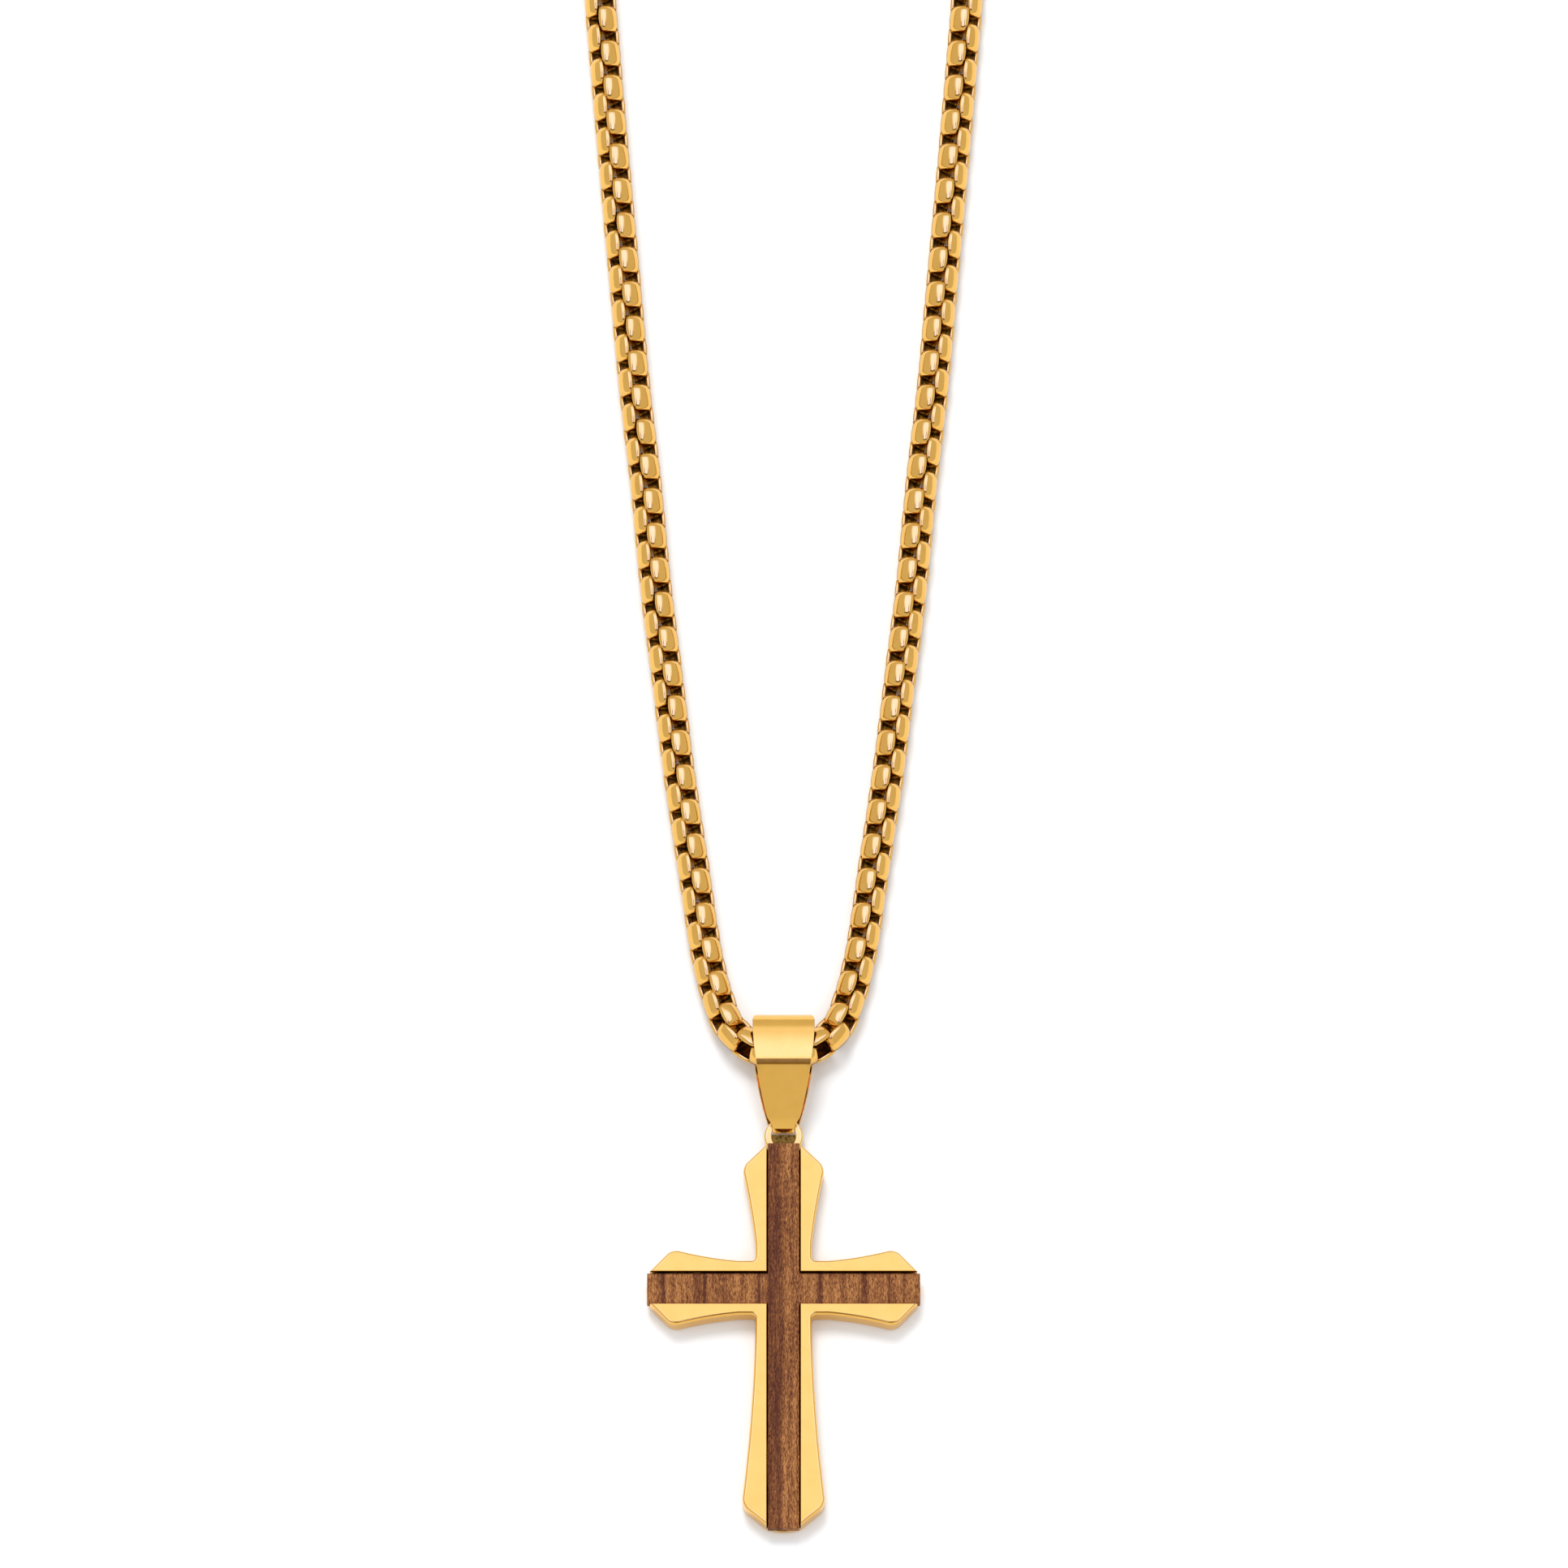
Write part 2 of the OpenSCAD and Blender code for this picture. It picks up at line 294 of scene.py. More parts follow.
    def surface(self, **inputs: Any) -> None:
        """End the tree in a Principled surface; names use _ for spaces."""
        named = {key.replace("_", " "): value for key, value in inputs.items()}
        shader = self.node("ShaderNodeBsdfPrincipled", None, named)
        output = self.node("ShaderNodeOutputMaterial")
        self.tree.links.new(shader.outputs[0], output.inputs[0])


# --------------------------------------------------------------------- finishes


class Finish:
    """A surface finish that makes its own material once.

    Args:
        name: the material's name.
    """

    name: str

    def dress(self, graph: Graph) -> None:
        """Build the finish's node tree."""
        raise NotImplementedError

    def material(self) -> bpy.types.Material:
        """The finish's material, made on first use.

        Returns:
            The material.
        """
        made = bpy.data.materials.get(self.name)
        if made is None:
            made = bpy.data.materials.new(self.name)
            made.use_nodes = True
            self.dress(Graph(made.node_tree))
        return made


@dataclass(frozen=True)
class GoldPlate(Finish):
    """Gold-tone plating: mirror bright, with faint waves, handling scratches and tone drift.

    Args:
        name: the material's name.
        tone: its colour.
        warm: the deeper colour that the tone drifts to.
        gloss: its roughness.
        wave: height of the faint waves, in millimetres.
        drift_scale: how fine the tone's drift is, in features per millimetre.
    """

    name: str
    tone: Colour = (0.87, 0.51, 0.112)
    warm: Colour = (0.855, 0.49, 0.102)
    gloss: float = 0.13
    wave: float = 0.0015
    drift_scale: float = 0.45

    def dress(self, graph: Graph) -> None:
        """Build the plating's node tree.

        Args:
            graph: the tree to build in.
        """
        place = graph.place()
        drift = graph.noise(place, self.drift_scale, 3.0)
        along = graph.noise(place, 1.0, 2.0, stretch=(9.0, 0.8, 2.0))
        across = graph.noise(place, 1.0, 2.0, stretch=(0.9, 8.0, 2.0))
        scratch = graph.step(along, 0.66, 0.74) + graph.step(across, 0.67, 0.75)
        smear = graph.noise(place, 1.3, 2.0)
        height = graph.noise(place, 0.55, 1.0) + scratch * -0.02
        graph.surface(
            Base_Color=graph.mix(graph.step(drift, 0.35, 0.7), self.tone, self.warm),
            Metallic=1.0,
            Roughness=self.gloss + (smear - 0.5) * 0.05 + scratch * 0.04,
            Normal=graph.bump(height, 1.0, self.wave * MM))


@dataclass(frozen=True)
class InlayWood(Finish):
    """Reddish hardwood whose grain runs along the long bar, with pores and a dark streak.

    Args:
        name: the material's name.
        dark: colour of the dark streaks.
        body: the main colour.
        light: colour of the light fibres.
        pore: colour of the pores.
        painted_glint: colour of a few pale spots, a painted highlight.
        streaks: dark lines across the cross bar: (X, half width).
    """

    name: str
    dark: Colour = (0.083, 0.025, 0.014)
    body: Colour = (0.215, 0.080, 0.027)
    light: Colour = (0.430, 0.188, 0.064)
    pore: Colour = (0.045, 0.013, 0.007)
    painted_glint: Colour = (0.62, 0.40, 0.24)
    streaks: tuple[tuple[float, float], ...] = (
        (-10.4, 0.34), (-9.5, 0.12), (-14.6, 0.22), (-3.2, 0.18), (4.5, 0.26),
        (10.1, 0.26), (13.2, 0.14))

    def dress(self, graph: Graph) -> None:
        """Build the wood's node tree.

        Args:
            graph: the tree to build in.
        """
        place = graph.place()
        x, _, _ = graph.split(place)
        sway = graph.noise(place, 1.0, 1.0, stretch=(0.25, 0.06, 0.25))
        bands = graph.noise(place, 1.0, 3.0, stretch=(1.3, 0.06, 0.6))
        fibres = graph.noise(place, 1.0, 3.0, 0.65, stretch=(6.5, 0.5, 4.0))
        dashes = graph.noise(place, 1.0, 1.0, stretch=(8.0, 2.2, 5.0))
        flecks = graph.noise(place, 1.3, 1.0, stretch=(7.0, 1.6, 5.0))
        glints = graph.noise(place, 1.5, 1.0, stretch=(6.0, 3.0, 4.0))
        meander = x + (sway - 0.5) * 1.1
        streak = graph.step(meander, -2.6, -1.7) * graph.step(meander, -0.65, 0.05, 1.0, 0.0)
        marks = streak * 0.75
        for centre, half in self.streaks:
            off = abs(meander - centre)
            marks = marks + graph.step(off, half * 0.2, half * 2.2, 0.75, 0.0)
        marks = marks * (0.45 + dashes * 1.1)
        tone = bands * 0.75 + fibres * 0.8 + dashes * 0.95 - 0.755 - marks * 0.34
        colour = graph.ramp(tone, [(0.16, self.dark), (0.44, self.body), (0.74, self.light)])
        pores = graph.step(flecks, 0.63, 0.70)
        # Pale spots mixed into the wood's colour: painted highlight.
        glint = graph.step(glints, 0.73, 0.80) * 0.5
        colour = graph.mix(pores * 0.75, colour, self.pore)
        colour = graph.mix(glint, colour, self.painted_glint)
        height = fibres * 0.5 + dashes * 0.3 - pores * 0.8
        graph.surface(Base_Color=colour,
                      Roughness=0.58 - fibres * 0.12 + pores * 0.25,
                      Normal=graph.bump(height, 0.6, 0.03 * MM),
                      Specular_IOR_Level=0.06)


@dataclass(frozen=True)
class SetGlue(Finish):
    """Cured glue: amber, a little cloudy.

    Args:
        name: the material's name.
        clear: its colour where it is clear.
        cloudy: its colour where it isn't.
    """

    name: str
    clear: Colour = (0.30, 0.19, 0.07)
    cloudy: Colour = (0.42, 0.33, 0.18)

    def dress(self, graph: Graph) -> None:
        """Build the glue's node tree.

        Args:
            graph: the tree to build in.
        """
        cloud = graph.noise(graph.place(), 1.2, 3.0)
        graph.surface(Base_Color=graph.mix(graph.step(cloud, 0.4, 0.65), self.clear, self.cloudy),
                      Roughness=0.25 + cloud * 0.3)


@dataclass(frozen=True)
class DrawnWire(Finish):
    """Bare spring wire with fine drawing marks.

    Args:
        name: the material's name.
        bright: colour between the marks.
        dull: colour of the marks.
    """

    name: str
    bright: Colour = (0.60, 0.59, 0.56)
    dull: Colour = (0.44, 0.43, 0.41)

    def dress(self, graph: Graph) -> None:
        """Build the wire's node tree.

        Args:
            graph: the tree to build in.
        """
        marks = graph.noise(graph.place(), 9.0, 3.0)
        graph.surface(Base_Color=graph.mix(marks, self.bright, self.dull), Metallic=1.0,
                      Roughness=0.22 + marks * 0.18)


@dataclass(frozen=True)
class StudioPaper(Finish):
    """The plain pale floor.

    Args:
        name: the material's name.
        white: its colour.
    """

    name: str
    white: Colour = (0.90, 0.90, 0.90)

    def dress(self, graph: Graph) -> None:
        """Build the floor's node tree."""
        graph.surface(Base_Color=(*self.white, 1.0), Roughness=0.85, Specular_IOR_Level=0.1)


CROSS_GOLD = GoldPlate("cross_gold")
BAIL_GOLD = GoldPlate("bail_gold", gloss=0.15, wave=0.003)
LUG_GOLD = GoldPlate("lug_gold", tone=(0.87, 0.56, 0.16), warm=(0.86, 0.53, 0.13), gloss=0.2)
# Dark gold for the links' inner faces: painted shade of the recesses inside the chain.
RECESS_SHADE_GOLD = GoldPlate("recess_painted_shade", tone=(0.40, 0.22, 0.03), warm=(0.07, 0.034, 0.005),
                        gloss=0.36, wave=0.012, drift_scale=1.7)
LUG_SHADE = GoldPlate("lug_shade", tone=(0.20, 0.105, 0.012), warm=(0.05, 0.022, 0.003),
                      gloss=0.3, wave=0.01, drift_scale=2.2)
CHAIN_GOLD = GoldPlate("chain_gold", tone=(0.81, 0.475, 0.112), warm=(0.79, 0.45, 0.10),
                       gloss=0.12, wave=0.002)
CLASP_GOLD = GoldPlate("clasp_gold", gloss=0.16, wave=0.003)


# ------------------------------------------------------------------ mesh helpers


def verts_of(geom: Iterable[Any]) -> list[BMVert]:
    """The vertices in an operator's result."""
    return [item for item in geom if isinstance(item, BMVert)]


def edges_of(geom: Iterable[Any]) -> list[BMEdge]:
    """The edges in an operator's result."""
    return [item for item in geom if isinstance(item, BMEdge)]


def faces_of(geom: Iterable[Any]) -> list[BMFace]:
    """The faces in an operator's result."""
    return [item for item in geom if isinstance(item, BMFace)]


def everything(bm: BMesh) -> list[Any]:
    """All of a bmesh's geometry, as the operators take it."""
    return [*bm.verts, *bm.edges, *bm.faces]


def extrude_faces(bm: BMesh, faces: Sequence[BMFace], by: Point) -> list[BMFace]:
    """Extrude a region of faces and move the new end.

    Args:
        bm: the bmesh.
        faces: the region.
        by: how far its new end moves.

    Returns:
        The faces at the new end.
    """
    made = bmesh.ops.extrude_face_region(bm, geom=list(faces))["geom"]
    bmesh.ops.translate(bm, verts=verts_of(made), vec=by)
    return faces_of(made)


def round_edges(bm: BMesh, edges: Sequence[BMEdge], width: float, segments: int = 2) -> None:
    """Round the given edges.

    Args:
        bm: the bmesh.
        edges: the edges.
        width: width of the rounding.
        segments: number of its steps.
    """
    if edges:
        bmesh.ops.bevel(bm, geom=list(edges), offset=width, offset_type="OFFSET",
                        segments=segments, profile=0.5, affect="EDGES", clamp_overlap=True,
                        material=-1)


class Pen:
    """Draws one line of edges in a plane of constant Z with extrude and spin."""

    def __init__(self, bm: BMesh, start: tuple[float, float]) -> None:
        """Put the pen down.

        Args:
            bm: the bmesh to draw in.
            start: the first point.
        """
        self.bm = bm
        self.tip = bmesh.ops.create_vert(bm, co=(*start, 0.0))["vert"][0]

    def line(self, end: tuple[float, float]) -> "Pen":
        """Draw a straight edge.

        Args:
            end: where the edge ends.

        Returns:
            The pen itself.
        """
        made = bmesh.ops.extrude_vert_indiv(self.bm, verts=[self.tip])["verts"][0]
        bmesh.ops.translate(self.bm, verts=[made], vec=Vector((*end, 0.0)) - made.co)
        self.tip = made
        return self

    def curve(self, end: tuple[float, float], radius: float, turn: int,
              steps: int) -> "Pen":
        """Draw a circular arc to a point.

        Args:
            end: where the arc ends.
            radius: its radius.
            turn: 1 to turn left on the way, -1 to turn right.
            steps: how many edges it has.

        Returns:
            The pen itself.
        """
        start = self.tip.co.copy()
        chord = Vector((*end, 0.0)) - start
        left = Vector((-chord.y, chord.x, 0.0)).normalized()
        rise = math.sqrt(max(radius ** 2 - chord.length_squared / 4, 0.0))
        centre = start + chord / 2 + left * rise * turn
        angle = 2 * math.asin(min(chord.length / 2 / radius, 1.0)) * turn
        made = bmesh.ops.spin(self.bm, geom=[self.tip], cent=centre, axis=(0, 0, 1),
                              angle=angle, steps=steps, use_duplicate=False)["geom_last"]
        self.tip = verts_of(made)[0]
        return self


@dataclass
class Piece:
    """One finished mesh, with its name, finish and place in the frame.

    Args:
        name: the piece's name.
        finish: its finish.
        slot: the record's slot it belongs to; not used.
        body: the body it rides on.
        replaces: the CAD nodes it stands for.
        sharp: edges that bend more than this many degrees are drawn sharp.
        weighted: whether flat faces keep their own normals beside round edges.
        extras: finishes of the faces with a higher material index.
    """

    name: str
    finish: Finish
    slot: Slot
    body: str
    replaces: tuple[str, ...]
    sharp: float = 50.0
    weighted: bool = True
    extras: tuple[Finish, ...] = ()

    def publish(self, bm: BMesh, outward: bool = True) -> bpy.types.Object:
        """Turn a bmesh in millimetres into the finished object.

        Args:
            bm: the shape, which is freed.
            outward: whether its normals are worked out again.

        Returns:
            The object, riding on its body.
        """
        bmesh.ops.remove_doubles(bm, verts=bm.verts, dist=NEAR)
        if outward:
            bmesh.ops.recalc_face_normals(bm, faces=bm.faces)
        bmesh.ops.scale(bm, vec=(MM, MM, MM), verts=bm.verts)
        for face in bm.faces:
            face.smooth = True
        limit = math.radians(self.sharp)
        for edge in bm.edges:
            edge.smooth = edge.calc_face_angle(0.0) < limit
        mesh = bpy.data.meshes.new(self.name)
        bm.to_mesh(mesh)
        bm.free()
        for finish in (self.finish, *self.extras):
            mesh.materials.append(finish.material())
        made = bpy.data.objects.new(self.name, mesh)
        bpy.context.scene.collection.objects.link(made)
        if self.weighted:
            normals = made.modifiers.new("even_normals", "WEIGHTED_NORMAL")
            normals.keep_sharp = True
            normals.weight = 60
        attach(made, self.body)
        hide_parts(*self.replaces)
        LOG.info("%s: %d faces on %s", self.name, len(mesh.polygons), self.body)
        return made


def cad_copy(node: str) -> BMesh:
    """A merged copy of a CAD node's mesh, in millimetres, with its flat faces joined.

    Args:
        node: the CAD node.

    Returns:
        The copy.
    """
    bm = bmesh.new()
    bm.from_mesh(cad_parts[node].data)
    bmesh.ops.scale(bm, vec=(1 / MM, 1 / MM, 1 / MM), verts=bm.verts)
    bmesh.ops.remove_doubles(bm, verts=bm.verts, dist=NEAR)
    bmesh.ops.dissolve_limit(bm, angle_limit=math.radians(1.0), verts=bm.verts,
                             edges=bm.edges, use_dissolve_boundaries=False)
    return bm


def join_flat(bm: BMesh) -> None:
    """Turn the faces outwards and join those that lie in one plane.

    Args:
        bm: the bmesh.
    """
    bmesh.ops.recalc_face_normals(bm, faces=bm.faces)
    bmesh.ops.dissolve_limit(bm, angle_limit=math.radians(0.5), verts=bm.verts,
                             edges=bm.edges)


def sharp_edges(bm: BMesh, degrees: float) -> list[BMEdge]:
    """The edges that bend outwards more than an angle."""
    limit = math.radians(degrees)
    return [edge for edge in bm.edges if edge.calc_face_angle_signed(0.0) > limit]


# -------------------------------------------------------------------- the studio


@dataclass
class Studio:
    """Camera, white floor and soft light round the part.

    Args:
        tilt: degrees that the camera leans from straight down towards -Y.
        aim: the point it looks at.
        span: width of the view.
        lens: focal length, long so that the view hardly converges.
        sensor: sensor width.
        key_from: place of the key light from the aim.
        key_size: its width.
        key_power: its power, in watts.
        brightest: scale of the sky's colours.
        room_light: even light that matt surfaces get.
        flank_light: light from both sides.
        strip_light: light of the two narrow boxes beside the middle.
        sky: light along the middle, by degrees from straight up towards +Y.
    """

    tilt: float = 18.0
    aim: Point = (0.05, 65.8, 0.0)
    span: float = 193.2
    lens: float = 1000.0
    sensor: float = 36.0
    key_from: Point = (-170.0, 720.0, 1150.0)
    key_size: float = 620.0
    key_power: float = 9.5
    brightest: float = 5.5
    room_light: Colour = (0.97, 0.99, 1.02)
    flank_light: Colour = (0.80, 0.80, 0.82)
    strip_light: Colour = (1.5, 1.78, 5.2)
    sky: tuple[tuple[float, Colour], ...] = (
        (-90.0, (0.92, 0.92, 0.93)), (-46.0, (0.88, 0.88, 0.89)), (-37.0, (0.24, 0.18, 0.11)),
        (8.0, (0.24, 0.18, 0.11)), (14.5, (1.32, 1.36, 1.95)), (20.0, (1.40, 1.46, 2.2)),
        (29.0, (1.52, 1.72, 3.6)), (36.0, (1.42, 1.56, 2.8)), (43.0, (1.12, 1.14, 1.40)),
        (52.0, (0.82, 0.82, 0.84)), (90.0, (0.72, 0.72, 0.74)))

    def camera(self) -> None:
        """Set up the camera."""
        lean = math.radians(self.tilt)
        back = Vector((0.0, -math.sin(lean), math.cos(lean)))
        data = bpy.data.cameras.new("camera")
        data.sensor_width, data.lens = self.sensor, self.lens
        distance = self.span * self.lens / self.sensor
        made = bpy.data.objects.new("camera", data)
        made.location = (Vector(self.aim) + back * distance) * MM
        made.rotation_mode = "QUATERNION"
        made.rotation_quaternion = (-back).to_track_quat("-Z", "Y")
        bpy.context.scene.collection.objects.link(made)
        bpy.context.scene.camera = made

    def surroundings(self) -> None:
        """Paint the soft boxes of the studio on the sky."""
        world = bpy.data.worlds.new("studio")
        world.use_nodes = True
        graph = Graph(world.node_tree)
        sky = Signal(graph, graph.node("ShaderNodeTexCoord").outputs["Generated"])
        x, y, z = graph.split(sky)
        side = abs(x)
        lean = graph.math("ARCTAN2", y, z) * math.degrees(1.0)
        stops = [((angle + 90.0) / 180.0, tuple(c / self.brightest for c in colour))
                 for angle, colour in self.sky]
        glow = graph.ramp((lean + 90.0) * (1.0 / 180.0), stops)
        flank = tuple(c / self.brightest for c in self.flank_light)
        strip = tuple(c / self.brightest for c in self.strip_light)
        glow = graph.mix(graph.step(side, 0.44, 0.56), glow, flank)
        lit = graph.step(side, 0.08, 0.14) * graph.step(side, 0.40, 0.50, 1.0, 0.0)
        lit = lit * graph.step(lean, -22.0, -14.0) * graph.step(lean, 38.0, 50.0, 1.0, 0.0)
        glow = graph.mix(lit, glow, strip)
        mirrored = Signal(graph, graph.node("ShaderNodeLightPath").outputs["Is Glossy Ray"])
        room = tuple(c / self.brightest for c in self.room_light)
        shade = graph.node("ShaderNodeBackground", None,
                           {"Color": graph.mix(mirrored, room, glow),
                            "Strength": self.brightest})
        output = graph.node("ShaderNodeOutputWorld")
        graph.tree.links.new(shade.outputs[0], output.inputs[0])
        bpy.context.scene.world = world

    def key(self) -> None:
        """Hang the soft key light, up and to the left."""
        data = bpy.data.lights.new("key", "AREA")
        data.shape, data.size, data.energy = "DISK", self.key_size * MM, self.key_power
        made = bpy.data.objects.new("key", data)
        aim = Vector(self.aim) * MM
        made.location = aim + Vector(self.key_from) * MM
        made.rotation_mode = "QUATERNION"
        made.rotation_quaternion = (aim - made.location).to_track_quat("-Z", "Y")
        made.visible_glossy = False
        bpy.context.scene.collection.objects.link(made)

    def floor(self) -> None:
        """Lay the floor just under the part."""
        bm = bmesh.new()
        bmesh.ops.create_grid(bm, x_segments=1, y_segments=1, size=4.0)
        bmesh.ops.translate(bm, verts=bm.verts, vec=(0.0, 0.0, CAD_BOX[0][2] - 2e-5))
        mesh = bpy.data.meshes.new("floor")
        bm.to_mesh(mesh)
        bm.free()
        mesh.materials.append(StudioPaper("studio_paper").material())
        made = bpy.data.objects.new("floor", mesh)
        bpy.context.scene.collection.objects.link(made)

    def build(self) -> None:
        """Set up the whole studio."""
        scene = bpy.context.scene
        scene.view_settings.view_transform = "Standard"
        self.camera()
        self.surroundings()
        self.key()
        self.floor()


# --------------------------------------------------------------------- the chain


@dataclass
class Route:
    """The line of the whole chain, from the left end over the bail to the right end.

    Args:
        half: points of the right half, from inside the bail outwards.
        steps: how finely a stretch between two points is curved.
    """

    half: tuple[Point, ...] = (
        (0, 30, 3.1), (2, 30.2, 3.1), (4, 31, 2.95), (5.7, 32.5, 2.6), (7, 34.3, 2.3),
        (7.9, 36.8, 2.1), (8.8, 40, 2), (9.8, 45, 2), (11, 53.5, 2), (12.8, 66, 2),
        (14.3, 78.5, 2), (15.8, 91, 2), (17, 104, 2), (18.4, 116.5, 2), (19.5, 129, 2),
        (20.6, 141.5, 2), (21.7, 154.5, 2), (22.7, 167, 2), (23.5, 178, 2), (24.2, 190, 2),
        (24.7, 202, 2), (25, 214, 2), (25, 226, 2), (25, 238, 2), (25, 250, 2), (25, 262, 2),
        (25, 274, 2), (25, 286, 2), (24.8, 295, 2), (23.3, 302, 2.05), (19.8, 307.8, 2.2),
        (15.5, 311, 2.45), (11.6, 312, 2.6))
    steps: int = 12

    def __post_init__(self) -> None:
        """Curve the line through its points and measure it."""
        right = [Vector(point) for point in self.half]
        left = [Vector((-p.x, p.y, p.z)) for p in reversed(right[1:])]
        knots = left + right
        self.middle = len(left) * self.steps
        self.line: list[Vector] = []
        for i in range(len(knots) - 1):
            a, b = knots[max(i - 1, 0)], knots[i]
            c, d = knots[i + 1], knots[min(i + 2, len(knots) - 1)]
            for k in range(self.steps):
                self.line.append(self.between(a, b, c, d, k / self.steps))
        self.line.append(knots[-1])
        self.reach = [0.0]
        for before, after in zip(self.line, self.line[1:]):
            self.reach.append(self.reach[-1] + (after - before).length)

    @staticmethod
    def between(a: Vector, b: Vector, c: Vector, d: Vector, t: float) -> Vector:
        """The point a fraction t of the way from b to c on a smooth curve."""
        return 0.5 * (2 * b + (c - a) * t + (2 * a - 5 * b + 4 * c - d) * t ** 2
                      + (3 * b - a - 3 * c + d) * t ** 3)

    def at(self, distance: float) -> tuple[Vector, Vector]:
        """The place and heading at a distance along the line.

        Args:
            distance: distance from the start of the line.

        Returns:
            The place, and the heading as a unit vector.
        """
        i = 0
        while i < len(self.reach) - 2 and self.reach[i + 1] < distance:
            i += 1
        step = self.line[i + 1] - self.line[i]
        part = (distance - self.reach[i]) / step.length
        return self.line[i] + step * part, step.normalized()

    def strand(self, side: Side) -> list[Vector]:
        """The points of one strand in metres, from inside the bail outwards.

        Args:
            side: which strand.

        Returns:
            The points.
        """
        if side is Side.RIGHT:
            points = self.line[self.middle:]
        else:
            points = list(reversed(self.line[:self.middle + 1]))
        return [point * MM for point in points[::4]]


@dataclass
class BoxChain:
    """Round box chain: short bands bent to a round outline, each turned a quarter to the next.

    Args:
        diameter: outer diameter of a link's cage, a little over the finished 4 mm.
        link: length of the cage.
        wall: thickness of its band.
        width: width of the band at the two outer plates.
        end_width: width of the walls that cross through the next link.
        shoulder: length of the bend between plate and end wall.
        bow: how much shorter the plates are at their sides.
        crispness: how far the band's rims keep their edge when it is rounded.
        count: number of links between the two end links.
        first: distance of the first link's middle from the end of the line.
        roll: degrees that the first kind of link is turned to the loop's inner side.
        untwist: number of links over which the roll dies out towards the end links.
        seed: start of the small differences between links.
        route: the line that the chain follows.
    """

    diameter: float = 4.1
    link: float = 3.66
    wall: float = 0.5
    width: float = 2.95
    end_width: float = 1.95
    shoulder: float = 0.42
    bow: float = 0.07
    crispness: float = 0.6
    count: int = 261
    first: float = 0.65
    roll: float = 33.0
    untwist: int = 6
    seed: int = 11
    route: Route = field(default_factory=Route)

    def template(self, bm: BMesh) -> list[Any]:
        """Model one link at the origin, lying along X with a plate up.

        Args:
            bm: the bmesh to model it in.

        Returns:
            Its geometry.
        """
        radius = self.diameter / 2
        made = bmesh.ops.create_cube(bm, size=1.0)["verts"]
        bmesh.ops.scale(bm, vec=(self.link, self.width, self.diameter), verts=made)
        open_sides = [face for face in bm.faces if abs(face.normal.y) > 0.9]
        bmesh.ops.delete(bm, geom=open_sides, context="FACES_ONLY")
        corners = [edge for edge in bm.edges if not edge.is_boundary]
        bmesh.ops.bevel(bm, geom=corners, offset=self.shoulder, offset_type="OFFSET",
                        segments=1, profile=0.5, affect="EDGES", clamp_overlap=True,
                        material=-1)
        across = [e for e in bm.edges
                  if abs(e.verts[0].co.y - e.verts[1].co.y) > self.width / 2]
        bmesh.ops.subdivide_edges(bm, edges=across, cuts=2, use_grid_fill=True)
        narrow = self.end_width / self.width
        for vert in bm.verts:
            vert.co.x *= 1 - self.bow * (2 * vert.co.y / self.width) ** 2
            if abs(vert.co.z) < radius - NEAR:
                vert.co.y *= narrow
            drop = radius - math.sqrt(radius ** 2 - vert.co.y ** 2)
            vert.co.z -= math.copysign(drop, vert.co.z)
        bmesh.ops.recalc_face_normals(bm, faces=bm.faces)
        bmesh.ops.solidify(bm, geom=bm.faces[:], thickness=self.wall)
        bmesh.ops.recalc_face_normals(bm, faces=bm.faces)
        # Faces that look inwards take the second material, the painted shade inside the links.
        for face in bm.faces:
            if face.normal.dot(face.calc_center_median()) < 0:
                face.material_index = 1
        crease = bm.edges.layers.float.new("crease_edge")
        for edge in bm.edges:
            if edge.calc_face_angle(0.0) > math.radians(60.0):
                edge[crease] = self.crispness
        return everything(bm)

    def pose(self, index: int, centre: Vector, heading: Vector, rand: random.Random) -> Matrix:
        """Where a link stands.

        Args:
            index: its number along the chain.
            centre: its middle.
            heading: the chain's direction there.
            rand: source of the small differences.

        Returns:
            The matrix that puts the template there.
        """
        inner = Vector((0.0, 0.0, 1.0)).cross(heading).normalized()
        up = heading.cross(inner)
        from_end = min(index, self.count - 1 - index)
        fade = min(from_end / self.untwist, 1.0)
        turn = math.radians(self.roll * fade + rand.uniform(-2.5, 2.5) * fade
                            - (90.0 if index % 2 else 0.0))
        plate = up * math.cos(turn) + inner * math.sin(turn)
        across = plate.cross(heading)
        frame_axes = Matrix((heading, across, plate)).transposed().to_4x4()
        return Matrix.Translation(centre) @ frame_axes

    def build(self) -> dict[Side, bpy.types.Object]:
        """Model both strands.

        Returns:
            The piece of each side.
        """
        rand = random.Random(self.seed)
        length = self.route.reach[-1]
        pitch = (length - 2 * self.first) / (self.count - 1)
        placed: dict[Side, list[Matrix]] = {Side.LEFT: [], Side.RIGHT: []}
        for index in range(self.count):
            centre, heading = self.route.at(self.first + pitch * index)
            side = Side.LEFT if index < self.count // 2 else Side.RIGHT
            placed[side].append(self.pose(index, centre, heading, rand))
        return {side: self.strand(side, matrices) for side, matrices in placed.items()}

    def strand(self, side: Side, matrices: Sequence[Matrix]) -> bpy.types.Object:
        """Model one strand.

        Args:
            side: which strand it is.
            matrices: where its links stand.

        Returns:
            The piece.
        """
        name = side.name.lower()
        bm = bmesh.new()
        link = self.template(bm)
        for matrix in matrices:
            made = bmesh.ops.duplicate(bm, geom=link)["geom"]
            bmesh.ops.transform(bm, matrix=matrix, verts=verts_of(made))
        bmesh.ops.delete(bm, geom=verts_of(link), context="VERTS")
        piece = Piece(f"box_chain_{name}", CHAIN_GOLD, Slot.CHAIN, "chain",
                      (f"chain_{name}_strand",), sharp=180.0, weighted=False,
                      extras=(RECESS_SHADE_GOLD,))
        return self.soften(piece.publish(bm, outward=False))

